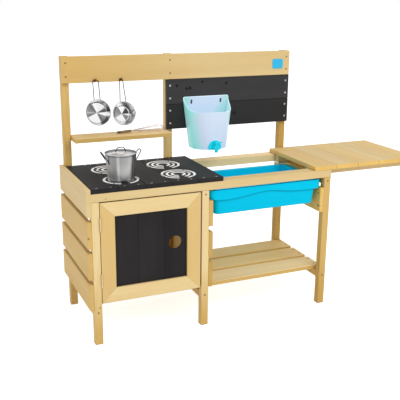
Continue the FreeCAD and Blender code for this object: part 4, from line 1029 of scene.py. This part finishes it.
@dataclass
class BackPanel(Assembly):
    """Black boards behind the tray with silver screws, and the bare plaque on the top board."""

    boards: tuple[tuple[str, Tone], ...] = (("black_board_1", Tone.SLATE), ("black_board_2", Tone.SOOT))
    first_seed: float = 31.0
    knots: Knots = ((478, 337, 846, 8), (492, 337, 848, 9), (546, 337, 871, 7), (650, 337, 861, 8),
                    (436, 337, 859, 8), (689, 337, 738, 9))
    screw_inset: float = 14 * MM
    plaque_across: tuple[float, float] = (859 * MM, 907 * MM)
    plaque_upright: tuple[float, float] = (911 * MM, 950 * MM)
    plaque_thick: float = 1.6 * MM
    plaque_corner: float = 7 * MM
    plaque_points: int = 64

    def build(self) -> None:
        """Stain the boards black, with two silver screws at each end, and make the plaque."""
        found: list[Spot] = []
        for number, (name, tone) in enumerate(self.boards):
            stain = BlackStain(name, Run.UPRIGHT_ACROSS, self.first_seed + number, tone, knots=self.knots)
            self.dress(stain, name)
            low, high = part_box(name)
            found += [((x, low.y, (low.z + high.z) / 2 + offset), (0, -1, 0))
                      for x in (low.x + self.screw_inset, high.x - self.screw_inset) for offset in PAIR]
        ScrewHead().many("black_board_screws", found, ZINC)
        self.plaque()

    def plaque(self) -> None:
        """Bare plaque with rounded corners.

        Its outline is a rounded rectangle: each corner's centre plus the corner radius at an angle.
        The rings go from the back's middle to its edge, the front edge, a slightly smaller front, and
        the front's middle.
        """
        turn = np.linspace(0, math.tau, self.plaque_points, endpoint=False)
        low, high = np.array([self.plaque_across, self.plaque_upright]).T
        way = np.stack([np.cos(turn), np.sin(turn)], axis=-1)
        corner = np.sign(way) * ((high - low) / 2 - self.plaque_corner)
        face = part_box("top_back_board")[0].y
        rings = []
        for inset, depth in ((1.0, 0.0), (0.0, 0.0), (0.0, 0.7), (0.05, 0.93), (0.15, 1.0), (1.0, 1.0)):
            x, z = ((high + low) / 2 + (corner + way * self.plaque_corner) * (1 - inset)).T
            rings.append(np.stack([x, face - depth * self.plaque_thick + 0 * x, z], axis=-1))
        surface = np.stack(rings), grid_faces(len(rings), self.plaque_points)
        new_piece("bare_plaque", surface, "frame", PLAQUE_BLUE)


@dataclass
class Hob(Assembly):
    """Black boards with printed burners and silver screws."""

    boards: int = 5
    first_seed: float = 41.0
    screw_inset: float = 11 * MM

    def build(self) -> None:
        """Stain the boards, print the burners across them and set two screws at both ends of each."""
        found: list[Spot] = []
        for number in range(self.boards):
            name = f"hob_board_{number + 1}"
            seed = self.first_seed + number
            self.dress(BlackStain(name, Run.LEVEL_DEEP, seed, printed=BurnerPrint()), name)
            low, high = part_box(name)
            found += [(((low.x + high.x) / 2 + offset, y, high.z), (0, 0, 1)) for offset in PAIR
                      for y in (low.y + self.screw_inset, high.y - self.screw_inset)]
        ScrewHead().many("hob_screws", found, ZINC)


@dataclass
class SlidingWorktop(Assembly):
    """Pale boards on runners that slide over the tray."""

    board_pitch: float = 98.5 * MM
    runner_pitch: float = 150 * MM
    first_seed: float = 51.0

    def build(self) -> None:
        """Pine on boards and runners, zinc on the keepers."""
        low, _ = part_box("worktop_boards")
        boards = PlanedPine("worktop_boards", Run.LEVEL_DEEP, self.first_seed, Tone.STRAW,
                            edge_and_shade_tone=Tone.FLAX, every_second=Tone.HONEY, board_start=low.x,
                            board_pitch=self.board_pitch)
        runners = PlanedPine("worktop_runners", Run.LEVEL_ACROSS, self.first_seed + 1,
                             board_pitch=self.runner_pitch)
        for pine in (boards, runners):
            self.dress(pine, pine.timber)
        self.dress(ZINC, "worktop_keepers")


@dataclass
class CupboardDoor(Assembly):
    """Mitred door frame with three black panel boards, butt hinges and a magnetic catch."""

    members: tuple[tuple[str, Tone, Run], ...] = (
        ("door_left_stile", Tone.STRAW, Run.STANDING), ("door_right_stile", Tone.STRAW, Run.STANDING),
        ("door_top_rail", Tone.PALE, Run.UPRIGHT_ACROSS), ("door_bottom_rail", Tone.PALE, Run.UPRIGHT_ACROSS))
    first_seed: float = 61.0
    panels: tuple[str, ...] = ("door_panel_board_1", "door_panel_board_2", "door_panel_board_3")
    first_panel_seed: float = 65.0

    def build(self) -> None:
        """Pine on the frame, black stain on the panel, plating on the fittings."""
        for number, (name, tone, run) in enumerate(self.members):
            self.dress(PlanedPine(name, run, self.first_seed + number, tone, mitre=MitreJoint()), name)
        for number, name in enumerate(self.panels):
            self.dress(BlackStain(name, Run.STANDING, self.first_panel_seed + number, Tone.COAL), name)
        self.dress(BRASS, "hinge_leg_leaves", "hinge_door_leaves", "hinge_pins")
        self.dress(NYLON, "magnetic_catch")
        self.dress(ZINC, "catch_plate")


@dataclass
class WaterParts(Assembly):
    """Blue tray, and the milky dispenser with its turquoise tap and its beaded edge."""

    middle: float = 560.5 * MM
    back: float = 335.4 * MM
    board_face: float = 337 * MM
    low: float = 613 * MM
    span: float = 201 * MM
    low_half: float = 71.8 * MM
    half_growth: float = 26.5 * MM
    low_depth: float = 87.8 * MM
    depth_growth: float = 17 * MM
    low_corner: float = 56.8 * MM
    corner_growth: float = 32 * MM
    fall_middle: tuple[float, float] = (252 * MM, 863.25 * MM)
    fall_radius: float = 103.57 * MM
    plate_corner_middle: tuple[float, float] = (91.52 * MM, 807 * MM)
    plate_corner: float = 5.7 * MM
    plate_lean: float = 7.51
    bead: float = 1.6 * MM
    pocket_points: tuple[int, int, int] = (14, 30, 14)
    plate_points: tuple[int, int] = (14, 12)
    rounds: int = 12

    def build(self) -> None:
        """Plastics of the tray, dispenser and tap, blackened hanging screws, and the beaded edge."""
        self.dress(TRAY_BLUE, "water_tray")
        self.dress(MilkyPlastic(), "dispenser")
        self.dress(TURQUOISE, "tap_body", "tap_lever")
        self.dress(HANGING, "hanging_screws")
        new_piece("dispenser_edge_bead", RolledBead(self.bead).follow(*self.edge()), "dispenser",
                  EDGE_HIGHLIGHT)

    def edge(self) -> tuple[np.ndarray, np.ndarray]:
        """Middle line of the bead and its outward directions, all round the open edge.

        On one half, the pocket's edge goes along the side wall, round a quarter circle and to the
        front's middle. Its half width, depth and corner radius grow with the height, and its height
        is that of a sunken arc of a circle at the same depth, so height and place are worked out in
        turn until they agree. The plate's edge goes from there round its upper corner to the top's
        middle. The other half is the mirror image.

        Returns:
            Points and outward directions, one row each.
        """
        wall, bend, front = self.pocket_points
        run = np.concatenate([np.linspace(0, 1, wall), np.ones(bend + front)])
        quarter = math.pi / 2
        turn = np.concatenate([np.zeros(wall), np.linspace(0, quarter, bend), np.full(front, quarter)])
        across = np.concatenate([np.zeros(wall + bend), np.linspace(0, 1, front)])
        z = self.low + self.span * 0.8 + 0 * turn
        for _ in range(self.rounds):
            share = (z - self.low) / self.span
            half = self.low_half + share * self.half_growth
            corner = self.low_corner + share * self.corner_growth
            start = self.board_face - self.low_depth - share * self.depth_growth + corner
            y = self.back + run * (start - self.back) - corner * np.sin(turn)
            z = self.fall_middle[1] - np.sqrt(self.fall_radius ** 2 - (y - self.fall_middle[0]) ** 2)
        x = -half + corner * (1 - np.cos(turn)) + across * (half - corner)
        pocket = np.stack([x, y, z], axis=-1)
        pocket_out = np.stack([-np.cos(turn), -np.sin(turn), 0 * turn], axis=-1)
        bend, top = self.plate_points
        lean = np.radians(np.concatenate([np.linspace(180 + self.plate_lean, 90, bend), np.full(top, 90.0)]))
        slide = np.concatenate([np.zeros(bend), np.linspace(0, 1, top)])
        plate_out = np.stack([np.cos(lean), 0 * lean, np.sin(lean)], axis=-1)
        plate_x = self.plate_corner_middle[0] * (slide - 1) + self.plate_corner * plate_out[:, 0]
        plate_z = self.plate_corner_middle[1] + self.plate_corner * plate_out[:, 2]
        plate = np.stack([plate_x, self.back + 0 * lean, plate_z], axis=-1)
        left = np.concatenate([pocket[::-1], plate])
        left_out = np.concatenate([pocket_out[::-1], plate_out])
        flip = np.array([-1.0, 1.0, 1.0])
        path = np.concatenate([left, (left * flip)[-2:0:-1]])
        outward = np.concatenate([left_out, (left_out * flip)[-2:0:-1]])
        apart = np.linalg.norm(path - np.roll(path, 1, axis=0), axis=1) > 0.05 * MM
        return path[apart] + np.array([self.middle, 0.0, 0.0]), outward[apart]


@dataclass
class HungPan(Assembly):
    """Spun steel pan on a hook, with a rolled rim."""

    body: str
    hook_x: float
    rim_radius: float
    depth: float
    hang: float
    base_radius: float
    reflection_sectors: Stops
    wall_reflection_sectors: Stops
    hook_y: float = 328 * MM
    hook_z: float = 895 * MM
    tilt: float = 13.0
    setback: float = 3.5 * MM
    bead: float = 1.6 * MM

    def lean(self) -> np.ndarray:
        """Rotation of the hanging pan, which leans out at its foot."""
        return np.array(Matrix.Rotation(math.radians(-self.tilt), 3, "X"))

    def spot(self, y: float) -> np.ndarray:
        """Point on the pan's axis, at a distance behind the hook before the pan is tilted."""
        hook = np.array([self.hook_x, self.hook_y, self.hook_z])
        return self.lean() @ np.array([0.0, y, -self.hang]) + hook

    def build(self) -> None:
        """Spun steel inside and out, drawn wire on the handle, and the rolled rim."""
        centre = tuple(self.spot(self.depth - self.setback).tolist())
        steel = SpunSteel("spun_steel_" + self.body, centre, math.radians(-90 + self.tilt), self.reflection_sectors,
                          self.wall_reflection_sectors, self.base_radius)
        self.dress(steel, self.body)
        self.dress(HANDLE_WIRE, self.body + "_handle")
        rim = self.spot(0.7 * MM - self.setback)
        axes = self.lean() @ np.array(Matrix.Rotation(math.radians(90), 3, "X"))
        surface = RolledBead(self.bead).ring(rim, axes, self.rim_radius + 0.2 * MM)
        new_piece(self.body + "_rolled_rim", surface, self.body, ROLLED)


# Sectors of the pans, as painted reflections: share of the turn about the axis, and brightness.
LARGE_BASE: Stops = (
    (0.0, 0.36), (0.03, 0.22), (0.056, 0.22), (0.074, 0.92), (0.295, 0.9), (0.32, 0.14), (0.36, 0.2),
    (0.43, 0.34), (0.452, 0.95), (0.498, 0.95), (0.514, 0.1), (0.565, 0.12), (0.6, 0.85), (0.805, 0.95),
    (0.835, 0.14), (0.92, 0.25), (0.965, 0.3), (0.985, 0.6), (1.0, 0.36))
LARGE_WALL: Stops = (
    (0.0, 0.6), (0.08, 0.8), (0.27, 0.85), (0.315, 0.25), (0.38, 0.18), (0.44, 0.25), (0.455, 0.95),
    (0.505, 0.95), (0.52, 0.12), (0.56, 0.45), (0.6, 0.3), (0.66, 0.3), (0.7, 0.6), (0.8, 0.7), (0.9, 0.4),
    (1.0, 0.6))
SMALL_BASE: Stops = (
    (0.0, 0.35), (0.06, 0.4), (0.08, 0.9), (0.315, 0.92), (0.34, 0.18), (0.4, 0.27), (0.455, 0.32),
    (0.467, 0.95), (0.493, 0.95), (0.507, 0.06), (0.64, 0.08), (0.68, 0.95), (0.81, 0.95), (0.832, 0.22),
    (0.9, 0.27), (1.0, 0.35))
SMALL_WALL: Stops = (
    (0.0, 0.35), (0.1, 0.6), (0.22, 0.8), (0.3, 0.75), (0.36, 0.75), (0.45, 0.8), (0.463, 1.0), (0.495, 1.0),
    (0.507, 0.9), (0.6, 1.0), (0.66, 0.8), (0.72, 0.8), (0.8, 0.8), (0.9, 0.35), (1.0, 0.35))


@dataclass
class CookingPot(Assembly):
    """Pot with wire handles welded on plates, and its lid with a wire loop."""

    centre: Triple = (123 * MM, 81 * MM, 573 * MM)
    base_radius: float = 46.5 * MM
    rim_radius: float = 55.5 * MM
    height: float = 98 * MM
    lid_height: float = 92.6 * MM
    lid_radius: float = 52.3 * MM
    lid_top: float = 120 * MM
    bead: float = 1.6 * MM
    lid_bead: float = 0.9 * MM
    foot_height: float = 68 * MM
    foot_half: float = 19 * MM
    plate_half_width: float = 5.5 * MM
    plate_half_height: float = 7 * MM
    plate_thick: float = 0.9 * MM
    plate_spokes: int = 20
    # Painted reflections by the share of the turn, and painted shade by the share of the height: a band under
    # the rolled rim, and near black on the lid above 0.837 of its height, where its wire loop is.
    reflection_sectors: Stops = (
        (0.0, 0.84), (0.022, 0.72), (0.045, 0.46), (0.105, 0.42), (0.152, 0.4), (0.164, 0.64), (0.18, 0.68),
        (0.194, 0.43), (0.233, 0.46), (0.266, 0.5), (0.3, 0.66), (0.324, 0.6), (0.338, 0.18), (0.347, 0.18),
        (0.358, 0.34), (0.375, 0.3), (0.392, 0.12), (0.44, 0.2), (0.5, 0.55), (0.7, 0.68), (0.85, 0.62),
        (0.93, 0.66), (1.0, 0.84))
    shade_levels: Stops = (
        (0.0, 1.0), (0.2, 1.0), (0.7, 0.64), (0.9, 0.6), (0.935, 0.34), (0.97, 0.36), (0.99, 0.8), (1.0, 0.8))
    lid_reflection_sectors: Stops = (
        (0.0, 0.86), (0.1, 0.58), (0.17, 0.94), (0.34, 1.0), (0.42, 0.58), (0.55, 0.86), (0.7, 0.52),
        (0.86, 0.92), (1.0, 0.86))
    lid_shade_levels: Stops = ((0.0, 1.0), (0.82, 1.0), (0.837, 0.06), (1.0, 0.06))

    def wall(self, z: Any) -> Any:
        """Radius of the pot's wall at a height."""
        return self.base_radius + (self.rim_radius - self.base_radius) * z / self.height

    def plates(self) -> Surface:
        """Four oval weld plates on the wall, under the feet of the handles.

        A plate's disc has a share of the way to its edge and an angle. Its place across is bent
        round the pot's wall as an angle about the axis, and it stands proud of the wall by its
        thickness times one less the share to the fourth power.

        Returns:
            Points and faces of all four.
        """
        share = np.array([0.0, 0.35, 0.65, 0.85, 0.95, 1.0])[None, :, None]
        angle = np.linspace(0, math.tau, self.plate_spokes, endpoint=False)[None, None, :]
        lean = math.asin(self.foot_half / self.wall(self.foot_height))
        middle = np.array([-lean, lean, math.pi - lean, math.pi + lean])[:, None, None]
        z = self.foot_height + share * np.sin(angle) * self.plate_half_height + 0 * middle
        proud = self.wall(z) + self.plate_thick * (1 - share ** 4) - 0.1 * MM
        turn = middle + share * np.cos(angle) * self.plate_half_width / self.wall(z)
        points = np.stack([proud * np.cos(turn), proud * np.sin(turn), z], axis=-1)
        faces = grid_faces(share.size, self.plate_spokes, copies=middle.size)
        return points + np.array(self.centre), faces

    def build(self) -> None:
        """Spun steel on the pot and lid, drawn wire on the handles, rolled beads and weld plates."""
        steel = SpunSteel("spun_steel_pot", self.centre, 0.0, self.reflection_sectors, shade_levels=self.shade_levels,
                          height=self.height, roughness=0.42)
        lid = SpunSteel("spun_steel_lid", self.centre, 0.0, self.lid_reflection_sectors, shade_levels=self.lid_shade_levels,
                        height=self.lid_top, roughness=0.25)
        self.dress(steel, "pot")
        self.dress(lid, "pot_lid")
        self.dress(WIRE, "pot_handles")
        for name, body, radius, height, bead in (
                ("pot_rolled_rim", "pot", self.rim_radius + 0.2 * MM, self.height - 0.7 * MM, self.bead),
                ("pot_lid_edge_bead", "pot_lid", self.lid_radius, self.lid_height, self.lid_bead)):
            rim = np.array(self.centre) + np.array([0.0, 0.0, height])
            new_piece(name, RolledBead(bead).ring(rim, np.eye(3), radius), body, ROLLED)
        new_piece("pot_handle_weld_plates", self.plates(), "pot", WIRE)


@dataclass
class HooksAndWhisk(Assembly):
    """Screw hooks of the pans, and the whisk on the small shelf."""

    def build(self) -> None:
        """Bronzed hooks, varnished handle and tinned wires."""
        self.dress(BRONZED, "pan_hooks")
        self.dress(TurnedWood(), "whisk_handle")
        self.dress(TINNED, "whisk_wires")


@dataclass
class Studio:
    """Camera, floor, lamps and surroundings."""

    camera_place: Triple = (-0.5826, -2.2206, 1.2020)
    yaw: float = math.radians(23.58)
    pitch: float = math.radians(16.08)
    roll: float = math.radians(0.46)
    lens: float = 63.10
    shift: tuple[float, float] = (0.0029, -0.0085)
    ambient: float = 0.68
    floor_tone: str = "#F2F2F2"
    floor_lift: float = 0.66
    floor_reach: float = 30.0
    lamps: tuple[tuple[str, Triple, Triple, float, float], ...] = (
        ("front_softbox", (1.6, -3.2, 3.6), (0.5, 0.1, 0.5), 2.4, 84.0),
        ("left_softbox", (-3.0, -1.0, 2.2), (0.3, 0.2, 0.5), 2.0, 12.0))

    def camera(self) -> None:
        """Camera of the photograph.

        It looks along +Y turned by the yaw towards +X and down by the pitch, and its right side is
        turned up by the roll.
        """
        sine, cosine = math.sin(self.yaw), math.cos(self.yaw)
        ahead = Vector((sine * math.cos(self.pitch), cosine * math.cos(self.pitch), -math.sin(self.pitch)))
        level = Vector((cosine, -sine, 0.0))
        above = level.cross(ahead)
        right = level * math.cos(self.roll) + above * math.sin(self.roll)
        up = above * math.cos(self.roll) - level * math.sin(self.roll)
        data = bpy.data.cameras.new("photo_camera")
        data.lens = self.lens
        data.sensor_width = 36.0
        data.shift_x, data.shift_y = self.shift
        camera = add_object("photo_camera", data)
        turn = Matrix((right, up, -ahead)).transposed().to_4x4()
        camera.matrix_world = Matrix.Translation(self.camera_place) @ turn
        bpy.context.scene.camera = camera

    @staticmethod
    def lamp(name: str, place: Triple, aim: Triple, size: float, power: float) -> None:
        """Soft square lamp that shines on the part but isn't mirrored in it.

        Args:
            name: Name of the lamp.
            place: Where it stands.
            aim: Where it points.
            size: Side of its square.
            power: Power in watts.
        """
        data = bpy.data.lights.new(name, "AREA")
        data.size, data.energy = size, power
        lamp = add_object(name, data)
        lamp.visible_glossy = False
        lamp.location = place
        lamp.rotation_euler = (Vector(aim) - Vector(place)).to_track_quat("-Z", "Y").to_euler()

    @staticmethod
    def seen(tree: Tree) -> Any:
        """Rays from the camera, a gloss or a clear part, which show what they meet and don't light.

        Args:
            tree: Node tree of the world or the floor.

        Returns:
            Socket that is 1 for such rays and 0 for others.
        """
        path = add_node(tree, "ShaderNodeLightPath", out=None)
        share: Any = path["Is Camera Ray"]
        for name in ("Is Glossy Ray", "Is Transmission Ray"):
            share = add_node(tree, MATH, share, path[name], operation="MAXIMUM")
        return share

    def surroundings(self) -> None:
        """Even white light, and plain white where the camera, a gloss or a clear part sees it."""
        world = bpy.data.worlds.new("studio_surroundings")
        bpy.context.scene.world = world
        tree = empty_tree(world)
        strength = add_node(tree, RANGE, self.seen(tree), 0.0, 1.0, self.ambient, 1.0)
        light = add_node(tree, "ShaderNodeBackground", {"Color": "#FFFFFF", "Strength": strength})
        add_node(tree, "ShaderNodeOutputWorld", {"Surface": light}, out=None)

    def floor(self) -> None:
        """Pale floor that keeps the shadow and meets the white background."""
        mesh = bpy.data.meshes.new("studio_floor")
        far = self.floor_reach
        mesh.from_pydata([(-far, -far, 0), (far, -far, 0), (far, far, 0), (-far, far, 0)], [], [(0, 1, 2, 3)])
        material = bpy.data.materials.new("studio_floor_paper")
        tree = empty_tree(material)
        paper = add_node(tree, "ShaderNodeBsdfDiffuse", {"Color": self.floor_tone})
        lift = add_node(tree, MATH, self.seen(tree), self.floor_lift, operation="MULTIPLY")
        glow = add_node(tree, "ShaderNodeEmission", {"Color": "#FFFFFF", "Strength": lift})
        both = add_node(tree, "ShaderNodeAddShader", paper, glow)
        add_node(tree, "ShaderNodeOutputMaterial", {"Surface": both}, out=None)
        mesh.materials.append(material)
        add_object("studio_floor", mesh)

    def build(self) -> None:
        """Set up the whole studio."""
        self.camera()
        self.surroundings()
        self.floor()
        for lamp in self.lamps:
            self.lamp(*lamp)
        bpy.context.scene.view_settings.view_transform = "Standard"


def main() -> None:
    """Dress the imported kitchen, add its small pieces and set up the studio."""
    logging.basicConfig(level=logging.INFO, format="%(message)s")
    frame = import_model()
    nodes = frame["nodes"]
    for assembly in (
            TimberFrame(nodes), BackPanel(nodes), Hob(nodes), SlidingWorktop(nodes), CupboardDoor(nodes),
            WaterParts(nodes), HooksAndWhisk(nodes),
            HungPan(nodes, "large_pan", 108 * MM, 47.2 * MM, 26 * MM, 120 * MM, 36.5 * MM, LARGE_BASE,
                    LARGE_WALL),
            HungPan(nodes, "small_pan", 207 * MM, 43.8 * MM, 34 * MM, 129 * MM, 27.5 * MM, SMALL_BASE,
                    SMALL_WALL),
            CookingPot(nodes)):
        assembly.build()
    Studio().build()
    LOG.info("sizes written")


if __name__ == "__main__":
    main()
